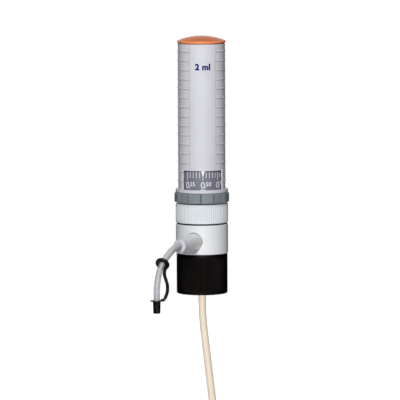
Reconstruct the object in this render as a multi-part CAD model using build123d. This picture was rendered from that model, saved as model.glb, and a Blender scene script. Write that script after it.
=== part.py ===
from build123d import *
import math
import os

# Bottle top dispenser, 2 ml, for a GL45 bottle.  Millimetres, +Z up.
# Origin: centre of the bottle adapter's bottom rim.  Front is -Y.
# The head turns on the adapter, the outer housing lifts on the guide column,
# and the volume ring turns the scale drum whose stepped cam limits the lift.

# ---------------------------------------------------------------- clearances
running_gap = 0.3        # flat faces that turn or slide past each other
fit_gap = 0.05           # round pieces pushed into each other
bearing_gap = 0.1        # a shaft that slides in its guide
seal_gap = 0.02          # piston seal to barrel, ball to seat

# ------------------------------------------------------------ bottle adapter
adapter_height = 40.9
adapter_radius = 26.0
adapter_chamfer = 1.2
thread_radius = 22.5     # GL45
thread_length = 24.5
thread_lead_in = 0.8
adapter_lip = 3.0
adapter_wall = 3.0       # wall of the plain upper half

# --------------------------------------------------------------- valve block
block_height = 30.0
block_radius = 26.65
block_chamfer = 0.9
stem_radius = 16.6
lip_clearance = 0.4      # adapter lip round the stem
cup_wall = 3.3
thread_clearance = 0.2   # neck in the coupling nut
cup_web = 3.0            # material between nozzle bore and cup
channel_radius = 2.0
outlet_radius = 1.5
retaining_flange = 3.2
retaining_flange_radius = 21.8
neck_gasket_thickness = 2.0
neck_gasket_radius = 21.5
neck_gasket_bore = 13.0

vent_bore_radius = 2.1
vent_bore_length = 9.5
vent_spotface_radius = 3.5
vent_spotface_depth = 0.5
vent_height = 14.8       # above the block's underside
vent_channel_radius = 1.0
vent_drop = 10.0         # radius at which the vent drops into the bottle

# --------------------------------------------------------------- inlet valve
inlet_ball_radius = 3.0
ball_lift = 1.2
ball_room = 0.4          # cavity round a ball
seat_bore = 1.2
inlet_spigot_wall = 1.6
inlet_flange_wall = 1.3
inlet_flange_height = 7.5
inlet_seal = 1.5
seat_depth = 1.0         # seat bore above the block's underside
ball_slot_width = 0.9
ball_slot_depth = 1.0

# --------------------------------------------------------------- intake tube
intake_radius = 3.75
intake_bore = 2.5
nipple_length = 14.0
intake_straight = 35.0   # straight part below the valve
intake_reach = 196.0     # end below the origin
intake_lean = 20.0       # sideways reach of the end
intake_bend = 300.0

# -------------------------------------------------------- nozzle and its tube
nozzle_angle = 22.4      # degrees from the front towards -X
nozzle_height = 13.4     # axis above the block's underside
nozzle_bore_radius = 8.8
nozzle_fit = 0.1
nozzle_bore_depth = 14.65
nozzle_reach = 42.35     # collar's end beyond the block's side
nozzle_tip_radius = 6.7
nozzle_seal_width = 1.6
nozzle_seal_depth = 1.0
nozzle_seal_back = 2.05  # seal behind the block's side
nozzle_rebate = 0.4      # wider mouth of the bore, where the seal shows
collar_length = 12.0
collar_face = 3.0
collar_wall = 2.3

outlet_ball_radius = 2.5
outlet_seat_thickness = 4.0
outlet_seat_wall = 2.3
spring_wire = 0.25
spring_radius = 1.8
spring_turns = 6
spring_length = 11.3

tube_radius = 3.4
tube_tip_radius = 3.1
tube_bore = 1.0
tube_socket = 5.0        # length held in the nozzle
tube_first_bend = 17.9   # first bend beyond the collar's face
tube_first_radius = 80.0
tube_slope = 20.0        # degrees below level
tube_arc_radius = 38.0
tube_span = 67.2         # collar's face to the vertical run
tube_drop = 58.6         # nozzle axis to the tip
ring_slope = 33.0        # slope of the tube where the cap's ring sits

# ------------------------------------------------------ jet cap and its strap
cap_ring_radius = 7.2
cap_ring_thickness = 2.5
strap_width = 3.4
strap_thickness = 1.3
strap_offset = 4.9       # strap's middle beside the tube's plane
strap_radius = 3.5
strap_lead = 11.5        # straight part along the tube from the ring's face
strap_below = 0.9        # its start below the ring's middle
strap_back = 18.2        # how far it bows back from the tube's vertical run
strap_fall = 13.0        # height of the bow's upper end above the flange
strap_turn = 6.3         # height of the bow's lower end above the flange
strap_foot = 4.2         # straight part at the jet cap
jet_tab_reach = 6.0      # tab on the jet cap's flange that carries the strap
jet_tab_length = 3.8
jet_cap_length = 12.0
jet_cap_over = 11.0      # tube tip to the flange's top
jet_cap_wall = 0.4
jet_cap_taper = 0.3
jet_cap_clearance = 0.1
jet_flange_radius = 6.65
jet_flange_thickness = 1.0

# -------------------------------------------------------------- coupling nut
nut_recess = 1.6         # dark groove under the nut
nut_gasket_radius = 25.6
nut_height = 19.3
nut_radius = 26.7
nut_wall = 2.7
nut_lip = 3.6
nut_rounding = 1.2
nut_chamfer = 0.5

# ---------------------------------------------------- barrel, piston and rod
nominal_volume = 2000.0  # cubic millimetres
barrel_bore = 4.25
barrel_wall = 2.75
barrel_flange_radius = 12.0
barrel_flange = 3.0
barrel_length = 52.0
barrel_gasket = 1.0
piston_gap = 0.05
piston_length = 10.0
piston_floor = 1.0       # piston's face above the barrel's end
seal_height = 2.3        # groove above the piston's face
seal_width = 1.8
seal_depth = 0.7
rod_radius = 3.0
rod_stud = 2.0
rod_socket = 5.2
rod_end = 5.0            # stud above the deck
rod_tip_clearance = 0.1

# -------------------------------------------------------------- guide column
column_flange = 4.5
column_flange_radius = 22.0
column_radius = 12.0
column_bore = 7.5
column_skirt_bore = 9.0
column_collar_radius = 18.5
column_roof = 4.0
sleeve_engagement = 39.0  # sleeve left on the column at full lift
rib_width = 3.0
rib_height = 1.6
rib_start = 7.0           # above the volume ring's underside
clip_thickness = 1.5
clip_width = 2.5
washer_thickness = 0.7
washer_radius = 18.0

# --------------------------------------------------- volume ring, scale drum
ring_gap = 1.2
ring_height = 10.2
ring_radius = 28.0
ring_chamfer = 0.9
ring_grooves = 13
groove_width = 0.9
groove_depth = 0.8
groove_offset = -5.3      # degrees from the front
drum_radius = 21.5
drum_wall = 1.7
drum_floor = 2.7
cam_wall = 2.3
cam_band = 3.0
cam_clearance = 0.3
key_width = 3.0
key_depth = 1.1
smallest_volume = 0.25    # ml
set_volume = 0.5
largest_volume = 2.0
volume_step = 0.05

# ------------------------------------------------------------------- housing
housing_length = 152.1
housing_radius = 24.0
housing_wall = 1.7
housing_flange_radius = 26.7
housing_flange = 3.4
window_height = 19.5
window_half_width = 19.4
panel_half_angle = 33.0
panel_height = 0.2        # the smooth front panel stands proud of the shell
grip_pitch = 9.45
grip_top = 8.0            # first ring's middle below the housing's top
grip_thickness = 1.2
grip_height = 0.43
sleeve_wall = 3.1
sleeve_clearance = 0.4
sleeve_start = 21.2       # above the housing's underside
lug_start = 2.0
lug_height = 4.0
lug_width = 6.0
deck_drop = 3.9           # deck's top below the housing's top
deck_thickness = 3.0
ledge_thickness = 3.0
ledge_width = 3.3
screw_count = 3
screw_radius = 1.0
screw_head_radius = 1.5
screw_head = 1.6
screw_bite = 2.5
calibration_nut_flats = 8.0
calibration_nut_height = 3.5

# ------------------------------------------------------------------- top cap
cap_radius = 24.7
cap_rim = 2.3
cap_rise = 4.7
cap_edge = 0.5
cap_wall = 2.0
cap_skirt = 1.9
cap_skirt_wall = 1.5

# ------------------------------------------------------------ worked out sizes
lip_bottom = thread_length
lip_top = lip_bottom + adapter_lip
stem_bottom = lip_bottom - running_gap - retaining_flange
rim_seat = stem_bottom - neck_gasket_thickness

block_bottom = adapter_height + running_gap
block_top = block_bottom + block_height
nozzle_z = block_bottom + nozzle_height
cup_floor = nozzle_z + nozzle_bore_radius + cup_web

nut_bottom = block_top + nut_recess
nut_top = nut_bottom + nut_height
nut_bore = nut_radius - nut_wall
neck_radius = nut_bore - thread_clearance
cup_radius = neck_radius - cup_wall
neck_top = nut_top - nut_lip - column_flange
column_flange_top = neck_top + column_flange

ring_bottom = nut_top + ring_gap
ring_top = ring_bottom + ring_height
drum_bottom = ring_bottom
collar_top = drum_bottom - bearing_gap - washer_thickness
drum_bore = drum_radius - drum_wall
cam_radius = drum_bore - cam_wall

housing_bottom = ring_top + running_gap
housing_top = housing_bottom + housing_length
housing_bore = housing_radius - housing_wall
window_bottom = housing_bottom + housing_flange
deck_top = housing_top - deck_drop
deck_bottom = deck_top - deck_thickness
ledge_bottom = deck_bottom - ledge_thickness
ledge_radius = housing_bore - ledge_width
screw_circle = (ledge_radius + housing_bore) / 2
grip_room = housing_length - housing_flange - grip_top - grip_thickness / 2
grip_rings = int(grip_room // grip_pitch) + 1

stroke = nominal_volume / (math.pi * (barrel_bore - piston_gap) ** 2)
barrel_base = cup_floor + barrel_gasket
barrel_flange_top = barrel_base + barrel_flange
barrel_top = barrel_base + barrel_length
barrel_radius = barrel_bore + barrel_wall
piston_radius = barrel_bore - piston_gap
piston_face = barrel_base + piston_floor
piston_top = piston_face + piston_length

sleeve_bottom = housing_bottom + sleeve_start
sleeve_bore = column_radius + sleeve_clearance
sleeve_radius = sleeve_bore + sleeve_wall
lug_bottom = sleeve_bottom + lug_start
lug_top = lug_bottom + lug_height
column_top = sleeve_bottom + stroke + sleeve_engagement
drum_top = lug_top + stroke + cam_band

inlet_flange_top = stem_bottom - inlet_seal
inlet_flange_bottom = inlet_flange_top - inlet_flange_height
nipple_end = inlet_flange_bottom - nipple_length
inlet_cavity = inlet_ball_radius + ball_room
inlet_spigot = inlet_cavity + inlet_spigot_wall
inlet_flange_radius = inlet_spigot + inlet_flange_wall
inlet_seat = stem_bottom + seat_depth


def resting_height(ball_radius):
    """Centre of a ball above the lower edge of its 45 degree seat."""
    half = ball_radius * math.sqrt(0.5)
    return 2 * half - seat_bore + seat_gap


seat_gap = seal_gap * math.sqrt(2)
inlet_ball_z = inlet_seat + resting_height(inlet_ball_radius)
ball_stop = math.sqrt(inlet_ball_radius**2 - channel_radius**2)
inlet_spigot_top = inlet_ball_z + ball_lift + running_gap / 4 + ball_stop

nozzle_base = block_radius - nozzle_bore_depth
nozzle_end = block_radius + nozzle_reach
nozzle_radius = nozzle_bore_radius - nozzle_fit
collar_start = nozzle_end - collar_length
nozzle_taper = (nozzle_radius - nozzle_tip_radius) / nozzle_reach
collar_radius = nozzle_tip_radius + nozzle_taper * collar_length
collar_bore = collar_radius - collar_wall
nozzle_spigot_end = nozzle_end - collar_face
tube_start = nozzle_spigot_end - tube_socket
outlet_cavity = outlet_ball_radius + ball_room + running_gap
outlet_seat_radius = outlet_cavity + outlet_seat_wall
outlet_seat_end = nozzle_base + outlet_seat_thickness
outlet_seat = outlet_seat_end - (outlet_cavity - seat_bore)
outlet_ball_s = outlet_seat + resting_height(outlet_ball_radius)
spring_touch = math.sqrt((outlet_ball_radius + spring_wire) ** 2 - spring_radius**2)
spring_start = outlet_ball_s + spring_touch + seal_gap
spring_end = spring_start + spring_length
outlet_cavity_end = spring_end + spring_wire

turn = math.radians(nozzle_angle)
forward = Vector(-math.sin(turn), -math.cos(turn), 0)
sideways = Vector(math.cos(turn), -math.sin(turn), 0)
nozzle_origin = Vector(0, 0, nozzle_z)
nozzle_plane = Plane(origin=nozzle_origin, x_dir=sideways, z_dir=forward)


def side_plane(offset):
    """Plane along the nozzle: local x runs out from the axis, local y is up."""
    return Plane(origin=nozzle_origin + sideways * offset, x_dir=forward, z_dir=-sideways)


# --------------------------------------------------------------------- shapes
def disc(radius, low, high):
    return Pos(0, 0, low) * Cylinder(radius, high - low, align=(Align.CENTER, Align.CENTER, Align.MIN))


def ring(outer, inner, low, high):
    return disc(outer, low, high) - disc(inner, low, high)


def sector(outer, inner, low, high, middle, width):
    """Part of a ring, width degrees wide, about the azimuth middle."""
    profile = Pos((outer + inner) / 2, 0, (low + high) / 2) * (
        Plane.XZ * Rectangle(outer - inner, high - low)
    )
    return Rot(Z=middle - width / 2) * revolve(profile, Axis.Z, width)


def turned(*points):
    """Solid of revolution about Z from an outline of (radius, height) points."""
    outline = Polyline(*[(radius, 0, height) for radius, height in points], close=True)
    return revolve(make_face(outline), Axis.Z)


def along_nozzle(shape):
    """Places a shape built on Z so that Z runs out along the nozzle."""
    return nozzle_plane * shape


def radial_bar(width, inner, outer, low, high):
    """Upright bar on +Y, width across, between two radii and two heights."""
    return Pos(0, (inner + outer) / 2, (low + high) / 2) * Box(width, outer - inner, high - low)


# --------------------------------------------------------------------- pieces
def bottle_adapter():
    """Screw collar for the bottle, with an inner lip that the head turns in."""
    upper_bore = adapter_radius - adapter_wall
    return turned(
        (thread_radius + thread_lead_in, 0),
        (adapter_radius - adapter_chamfer, 0),
        (adapter_radius, adapter_chamfer),
        (adapter_radius, adapter_height - adapter_chamfer / 2),
        (adapter_radius - adapter_chamfer / 2, adapter_height),
        (upper_bore, adapter_height),
        (upper_bore, lip_top),
        (stem_radius + lip_clearance, lip_top),
        (stem_radius + lip_clearance, lip_bottom),
        (thread_radius, lip_bottom),
        (thread_radius, thread_lead_in),
    )


def vent():
    """Air way from the back of the block down into the bottle."""
    face = block_radius - vent_spotface_depth
    seat = face - vent_bore_length
    height = block_bottom + vent_height
    back = Plane(origin=(0, 0, height), x_dir=(1, 0, 0), z_dir=(0, 1, 0))
    port = disc(vent_spotface_radius, face, block_radius + 1)
    port += disc(vent_bore_radius, seat, block_radius)
    port += disc(vent_channel_radius, vent_drop, block_radius)
    drop = Pos(0, vent_drop, 0) * disc(vent_channel_radius, stem_bottom - 1, height)
    return back * port + drop + Pos(0, vent_drop, height) * Sphere(vent_channel_radius)


def valve_block():
    """Turned head with the stem in the adapter, the barrel's cup and the threaded neck."""
    spigot_radius = adapter_radius - adapter_wall - running_gap
    block = turned(
        (0, stem_bottom),
        (stem_radius, stem_bottom),
        (stem_radius, lip_top + running_gap),
        (spigot_radius, lip_top + running_gap),
        (spigot_radius, block_bottom),
        (block_radius - block_chamfer, block_bottom),
        (block_radius, block_bottom + block_chamfer),
        (block_radius, block_top - block_chamfer),
        (block_radius - block_chamfer, block_top),
        (neck_radius, block_top),
        (neck_radius, neck_top),
        (cup_radius, neck_top),
        (cup_radius, cup_floor),
        (0, cup_floor),
    )
    block -= disc(inlet_spigot + fit_gap, stem_bottom, inlet_spigot_top)
    block -= disc(channel_radius, inlet_spigot_top, cup_floor)
    slot = Box(2 * inlet_ball_radius, ball_slot_width, 2 * ball_slot_depth)
    block -= Pos(0, 0, inlet_spigot_top) * (slot + Rot(Z=90) * slot)
    block -= along_nozzle(disc(nozzle_bore_radius, nozzle_base, 2 * block_radius))
    block -= along_nozzle(disc(nozzle_bore_radius + nozzle_rebate, nozzle_seal_place()[0], 2 * block_radius))
    block -= along_nozzle(disc(outlet_radius, 0, nozzle_base))
    return block - vent()


def adapter_retaining_flange():
    return ring(retaining_flange_radius, stem_radius + fit_gap, stem_bottom, stem_bottom + retaining_flange)


def neck_gasket():
    return ring(neck_gasket_radius, neck_gasket_bore, rim_seat, stem_bottom)


def inlet_valve_housing():
    """Nipple, flange and ball cage in one piece, pushed into the block from below."""
    nipple = intake_bore - fit_gap / 2
    return turned(
        (seat_bore, nipple_end),
        (nipple, nipple_end),
        (nipple, inlet_flange_bottom),
        (inlet_flange_radius, inlet_flange_bottom),
        (inlet_flange_radius, inlet_flange_top),
        (inlet_spigot, inlet_flange_top),
        (inlet_spigot, inlet_spigot_top),
        (inlet_cavity, inlet_spigot_top),
        (inlet_cavity, inlet_seat + inlet_cavity - seat_bore),
        (seat_bore, inlet_seat),
    )


def inlet_valve_seal():
    return ring(inlet_flange_radius, inlet_spigot + fit_gap, inlet_flange_top, stem_bottom)


def inlet_ball():
    return Pos(0, 0, inlet_ball_z) * Sphere(inlet_ball_radius)


def swept(path, radius):
    return sweep(Plane(origin=path @ 0, z_dir=path % 0) * Circle(radius), path=path)


def intake_tube():
    """Stiff dip tube, straight below the valve and then leaning to one side."""
    path = FilletPolyline(
        (0, 0, inlet_flange_bottom),
        (0, 0, inlet_flange_bottom - intake_straight),
        (intake_lean, 0, -intake_reach),
        radius=intake_bend,
    )
    return swept(path, intake_radius) - swept(path, intake_bore)


def barrel_gasket_ring():
    return ring(barrel_flange_radius, barrel_bore + fit_gap, cup_floor, barrel_base)


def glass_barrel():
    return turned(
        (barrel_bore, barrel_base),
        (barrel_flange_radius, barrel_base),
        (barrel_flange_radius, barrel_flange_top),
        (barrel_radius, barrel_flange_top),
        (barrel_radius, barrel_top),
        (barrel_bore, barrel_top),
    )


def guide_column():
    """Clamps the barrel down, carries the drum and guides the housing."""
    step = column_skirt_bore - column_bore
    column = turned(
        (column_skirt_bore, barrel_flange_top),
        (barrel_flange_radius, barrel_flange_top),
        (barrel_flange_radius, neck_top),
        (column_flange_radius, neck_top),
        (column_flange_radius, column_flange_top),
        (column_collar_radius, column_flange_top),
        (column_collar_radius, collar_top),
        (column_radius, collar_top),
        (column_radius, column_top),
        (rod_radius + bearing_gap, column_top),
        (rod_radius + bearing_gap, column_top - column_roof),
        (column_bore, column_top - column_roof),
        (column_bore, neck_top),
        (column_skirt_bore, neck_top - step),
    )
    rib = radial_bar(
        rib_width, column_radius - rib_height, column_radius + rib_height, ring_bottom + rib_start, column_top
    )
    return column + rib


def drum_retaining_ring():
    low = drum_bottom + drum_floor + bearing_gap
    return ring(column_radius + clip_width, column_radius + fit_gap, low, low + clip_thickness)


def drum_friction_washer():
    return ring(washer_radius, column_radius + fit_gap, collar_top, collar_top + washer_thickness)


def nozzle_seal_place():
    high = block_radius - nozzle_seal_back
    return high - nozzle_seal_width, high


def nozzle_body():
    """Cone screwed into the block: outlet valve inside, tube socket at its end."""
    seal_low, seal_high = nozzle_seal_place()
    groove = nozzle_bore_radius - nozzle_seal_depth - fit_gap
    return along_nozzle(turned(
        (outlet_seat_radius + fit_gap, nozzle_base),
        (nozzle_radius, nozzle_base),
        (nozzle_radius, seal_low - fit_gap),
        (groove, seal_low - fit_gap),
        (groove, seal_high + fit_gap),
        (nozzle_radius, seal_high + fit_gap),
        (nozzle_radius, block_radius),
        (collar_radius, collar_start),
        (collar_bore - fit_gap, collar_start),
        (collar_bore - fit_gap, nozzle_spigot_end),
        (tube_radius + fit_gap, nozzle_spigot_end),
        (tube_radius + fit_gap, tube_start),
        (tube_bore, tube_start),
        (tube_bore, outlet_cavity_end),
        (outlet_cavity, outlet_cavity_end),
        (outlet_cavity, outlet_seat_end),
        (outlet_seat_radius + fit_gap, outlet_seat_end),
    ))


def nozzle_seal():
    low, high = nozzle_seal_place()
    outer = nozzle_bore_radius + nozzle_rebate - fit_gap
    return along_nozzle(ring(outer, nozzle_bore_radius - nozzle_seal_depth, low, high))


def outlet_valve_seat():
    return along_nozzle(turned(
        (seat_bore, nozzle_base),
        (outlet_seat_radius, nozzle_base),
        (outlet_seat_radius, outlet_seat_end),
        (outlet_cavity, outlet_seat_end),
        (seat_bore, outlet_seat),
    ))


def outlet_ball():
    return along_nozzle(Pos(0, 0, outlet_ball_s) * Sphere(outlet_ball_radius))


def outlet_spring():
    wire_path = Helix(pitch=spring_length / spring_turns, height=spring_length, radius=spring_radius)
    section = Plane(origin=wire_path @ 0, z_dir=wire_path % 0) * Circle(spring_wire)
    return along_nozzle(Pos(0, 0, spring_start) * sweep(section, path=wire_path, is_frenet=True))


def tube_collar():
    return along_nozzle(turned(
        (collar_bore, collar_start),
        (collar_radius, collar_start),
        (nozzle_tip_radius, nozzle_end),
        (tube_radius + fit_gap, nozzle_end),
        (tube_radius + fit_gap, nozzle_spigot_end),
        (collar_bore, nozzle_spigot_end),
    ))


def tube_route():
    """Corners of the tube's centreline, outwards from the axis and up from the nozzle."""
    fall = math.tan(math.radians(tube_slope)) * (tube_span - tube_first_bend)
    return [
        (tube_start, 0),
        (nozzle_end + tube_first_bend, 0),
        (nozzle_end + tube_span, -fall),
        (nozzle_end + tube_span, -tube_drop),
    ]


def arc_centre():
    """Centre of the tube's large arc in the same plane."""
    corner = tube_route()[2]
    setback = tube_arc_radius * math.tan(math.radians(90 - tube_slope) / 2)
    return corner[0] - tube_arc_radius, corner[1] - setback


def on_arc(slope, radius):
    """Point beside the large arc where the tube falls at slope degrees."""
    centre = arc_centre()
    angle = math.radians(90 - slope)
    return centre[0] + radius * math.cos(angle), centre[1] + radius * math.sin(angle)


def tube_paths():
    """The tube's centreline, split at the lower face of the cap's ring."""
    start, bend, corner, tip = tube_route()
    shoulder_slope = ring_slope + math.degrees(cap_ring_thickness / 2 / tube_arc_radius)
    middle_slope = (tube_slope + shoulder_slope) / 2
    arc_start = on_arc(tube_slope, tube_arc_radius)
    shoulder = on_arc(shoulder_slope, tube_arc_radius)
    plane = side_plane(0)
    upper = FilletPolyline(start, bend, arc_start, radius=tube_first_radius)
    upper_arc = ThreePointArc(arc_start, on_arc(middle_slope, tube_arc_radius), shoulder)
    lower_arc = ThreePointArc(
        shoulder, on_arc((shoulder_slope + 90) / 2, tube_arc_radius), on_arc(90, tube_arc_radius)
    )
    lower = Line(on_arc(90, tube_arc_radius), tip)
    first = Wire([plane * edge for edge in [*upper.edges(), upper_arc]])
    second = Wire([plane * edge for edge in [lower_arc, lower]])
    return first, second


def delivery_tube():
    first, second = tube_paths()
    tube = swept(first, tube_radius) + swept(second, tube_tip_radius)
    return tube - swept(first, tube_bore) - swept(second, tube_bore)


def cap_ring_plane():
    """Plane square to the tube at the ring: local x is sideways, local y outwards."""
    middle = side_plane(0).from_local_coords(Vector(*on_arc(ring_slope, tube_arc_radius)))
    slope = math.radians(ring_slope)
    along = forward * math.cos(slope) - Vector(0, 0, 1) * math.sin(slope)
    return Plane(origin=middle, x_dir=sideways, z_dir=along)


def cap_ring():
    half = cap_ring_thickness / 2
    return cap_ring_plane() * ring(cap_ring_radius, tube_radius + fit_gap, -half, half)


def jet_levels():
    """Heights of the jet cap's flange top, flange underside and closed end."""
    top = nozzle_z - tube_drop + jet_cap_over
    return top, top - jet_flange_thickness, top - jet_flange_thickness - jet_cap_length


def jet_cap():
    """Push-on cap for the tube's tip: a thimble with a flange and a tab for the strap."""
    top, flange, end = jet_levels()
    bore = tube_tip_radius + jet_cap_clearance
    outer = bore + jet_cap_wall + jet_cap_taper
    tip = nozzle_z - tube_drop
    body = turned(
        (0, end),
        (outer - jet_cap_taper, end),
        (outer, flange),
        (jet_flange_radius, flange),
        (jet_flange_radius, top),
        (bore, top),
        (bore, tip - jet_cap_clearance),
        (0, tip - jet_cap_clearance),
    )
    tab_height = jet_flange_thickness + strap_thickness
    tab = Pos(strap_offset, jet_tab_length / 2 - jet_tab_reach, flange + tab_height / 2) * Box(
        strap_width, jet_tab_length, tab_height
    )
    place = Plane(origin=forward * (nozzle_end + tube_span), x_dir=sideways, z_dir=(0, 0, 1))
    return place * (body + tab - disc(bore, flange, top + strap_thickness))


def cap_strap():
    """Flexible strap: out along the tube from the ring, back in a bow and down to the jet cap."""
    slope = math.radians(ring_slope)
    along = (math.cos(slope), -math.sin(slope))
    middle = on_arc(ring_slope, tube_arc_radius)
    half = cap_ring_thickness / 2
    start = (
        middle[0] + half * along[0] + strap_below * along[1],
        middle[1] + half * along[1] - strap_below * along[0],
    )
    lead = (start[0] + strap_lead * along[0], start[1] + strap_lead * along[1])
    level = jet_levels()[0] + strap_thickness / 2 - nozzle_z
    run = nozzle_end + tube_span
    end = run - jet_tab_reach
    path = FilletPolyline(
        start,
        lead,
        (run - strap_back, level + strap_fall),
        (run - strap_back, level + strap_turn),
        (end - strap_foot, level),
        (end, level),
        radius=strap_radius,
    )
    placed = side_plane(strap_offset) * path
    section = Plane(origin=placed @ 0, x_dir=sideways, z_dir=placed % 0) * Rectangle(
        strap_width, strap_thickness
    )
    return sweep(section, path=placed)


def nut_gasket():
    return ring(nut_gasket_radius, neck_radius + fit_gap, block_top, nut_bottom - running_gap)


def coupling_nut():
    """Threaded nut that clamps the guide column's flange on the block's neck."""
    return turned(
        (nut_bore, nut_bottom),
        (nut_radius - nut_chamfer, nut_bottom),
        (nut_radius, nut_bottom + nut_chamfer),
        (nut_radius, nut_top - nut_rounding),
        (nut_radius - nut_rounding, nut_top),
        (column_collar_radius + running_gap, nut_top),
        (column_collar_radius + running_gap, column_flange_top),
        (nut_bore, column_flange_top),
    )


def volume_ring():
    """Grip ring in facets, keyed to the scale drum."""
    body = turned(
        (drum_radius + fit_gap, ring_bottom),
        (ring_radius - ring_chamfer, ring_bottom),
        (ring_radius, ring_bottom + ring_chamfer),
        (ring_radius, ring_top - ring_chamfer),
        (ring_radius - ring_chamfer, ring_top),
        (drum_radius + fit_gap, ring_top),
    )
    groove = radial_bar(
        groove_width, ring_radius - groove_depth, ring_radius + 1, ring_bottom - 1, ring_top + 1
    )
    first = -180 + groove_offset
    body -= [Rot(Z=first + 360 / ring_grooves * i) * groove for i in range(ring_grooves)]
    key = radial_bar(
        key_width, drum_radius - key_depth, drum_radius + 2 * fit_gap, ring_bottom, ring_top
    )
    return body + key


def stop_height(volume):
    """Height at which the lug meets the cam for a set volume in ml."""
    return lug_top + stroke * volume / largest_volume


def scale_drum():
    """Drum with the scale outside and the stepped cam for the lug inside."""
    drum = ring(drum_radius, drum_bore, drum_bottom, drum_top)
    drum += ring(drum_bore + fit_gap, column_radius + bearing_gap, drum_bottom, drum_bottom + drum_floor)
    drum -= radial_bar(
        key_width + 2 * fit_gap, drum_radius - key_depth - fit_gap, drum_radius + 1,
        drum_bottom - 1, ring_top + fit_gap,
    )
    degrees_per_ml = 360 / largest_volume
    step_angle = degrees_per_ml * volume_step
    steps = round((largest_volume - smallest_volume) / volume_step) + 1
    cam = []
    for i in range(steps):
        volume = smallest_volume + volume_step * i
        middle = degrees_per_ml * (volume - set_volume)
        cam.append(sector(drum_bore + fit_gap, cam_radius, stop_height(volume), drum_top, middle, step_angle))
    rest = 360 - steps * step_angle
    before_first = degrees_per_ml * (smallest_volume - set_volume) - step_angle / 2 - rest / 2
    low = stop_height(smallest_volume)
    cam.append(sector(drum_bore + fit_gap, cam_radius, low, drum_top, before_first, rest))
    return drum + cam


def housing():
    """Outer shell with the window, the smooth front panel and the grip rings."""
    shell = turned(
        (housing_bore, housing_bottom),
        (housing_flange_radius, housing_bottom),
        (housing_flange_radius, window_bottom),
        (housing_radius, window_bottom),
        (housing_radius, housing_top),
        (housing_bore, housing_top),
        (housing_bore, deck_bottom),
        (ledge_radius, deck_bottom),
        (ledge_radius, ledge_bottom),
        (housing_bore, ledge_bottom - ledge_width),
    )
    root = housing_radius - housing_wall / 2
    shell += sector(
        housing_radius + panel_height, root, window_bottom, housing_top, -90, 2 * panel_half_angle
    )
    for i in range(grip_rings):
        low = housing_top - grip_top - grip_pitch * i - grip_thickness / 2
        shell += sector(
            housing_radius + grip_height, root, low, low + grip_thickness, 90, 360 - 2 * panel_half_angle
        )
    shell -= Pos(0, 0, window_bottom) * Box(
        2 * window_half_width, 2 * housing_radius, window_height,
        align=(Align.CENTER, Align.MAX, Align.MIN),
    )
    screw_hole = disc(screw_radius, deck_bottom - screw_bite, deck_top)
    return shell - [place * screw_hole for place in screw_places()]


def screw_places():
    return [Rot(Z=90 + 360 / screw_count * i) * Pos(screw_circle, 0, 0) for i in range(screw_count)]


def guide_sleeve():
    """Sleeve that slides on the column, its deck screwed to the housing's ledge."""
    sleeve = turned(
        (sleeve_bore, sleeve_bottom),
        (sleeve_radius, sleeve_bottom),
        (sleeve_radius, deck_bottom),
        (housing_bore - fit_gap, deck_bottom),
        (housing_bore - fit_gap, deck_top),
        (rod_stud + fit_gap, deck_top),
        (rod_stud + fit_gap, deck_bottom),
        (sleeve_bore, deck_bottom),
    )
    slot_depth = rib_height + sleeve_clearance
    sleeve -= radial_bar(
        rib_width + sleeve_clearance, column_radius - slot_depth, column_radius + slot_depth,
        sleeve_bottom - 1, column_top + 1,
    )
    lug_radius = cam_radius - cam_clearance
    lug_reach = lug_radius - sleeve_bore - sleeve_wall / 2
    lug = Pos(lug_radius - lug_reach / 2, 0, (lug_bottom + lug_top) / 2) * Box(
        lug_reach, lug_width, lug_height
    )
    lug &= disc(lug_radius, lug_bottom, lug_top)
    sleeve += lug
    screw_hole = disc(screw_radius + fit_gap, deck_bottom, deck_top)
    return sleeve - [place * screw_hole for place in screw_places()]


def deck_screws():
    screw = disc(screw_radius, deck_bottom - screw_bite, deck_top) + disc(
        screw_head_radius, deck_top, deck_top + screw_head
    )
    return [place * screw for place in screw_places()]


def piston():
    """Plunger with a groove for its seal and a socket for the rod."""
    low = piston_face + seal_height
    return turned(
        (0, piston_face),
        (piston_radius, piston_face),
        (piston_radius, low),
        (piston_radius - seal_depth, low),
        (piston_radius - seal_depth, low + seal_width),
        (piston_radius, low + seal_width),
        (piston_radius, piston_top),
        (rod_stud + fit_gap, piston_top),
        (rod_stud + fit_gap, piston_top - rod_socket),
        (0, piston_top - rod_socket),
    )


def piston_seal():
    low = piston_face + seal_height
    return ring(
        barrel_bore - seal_gap, piston_radius - seal_depth + seal_gap, low + seal_gap, low + seal_width - seal_gap
    )


def piston_rod():
    return turned(
        (0, piston_top - rod_socket + rod_tip_clearance),
        (rod_stud, piston_top - rod_socket + rod_tip_clearance),
        (rod_stud, piston_top),
        (rod_radius, piston_top),
        (rod_radius, deck_bottom),
        (rod_stud, deck_bottom),
        (rod_stud, deck_top + rod_end),
        (0, deck_top + rod_end),
    )


def calibration_nut():
    across_corners = calibration_nut_flats / math.cos(math.radians(30))
    hexagon = RegularPolygon(across_corners / 2, 6)
    nut = Pos(0, 0, deck_top) * extrude(hexagon, calibration_nut_height)
    return nut - disc(rod_stud + fit_gap / 2, deck_top, deck_top + calibration_nut_height)


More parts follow.
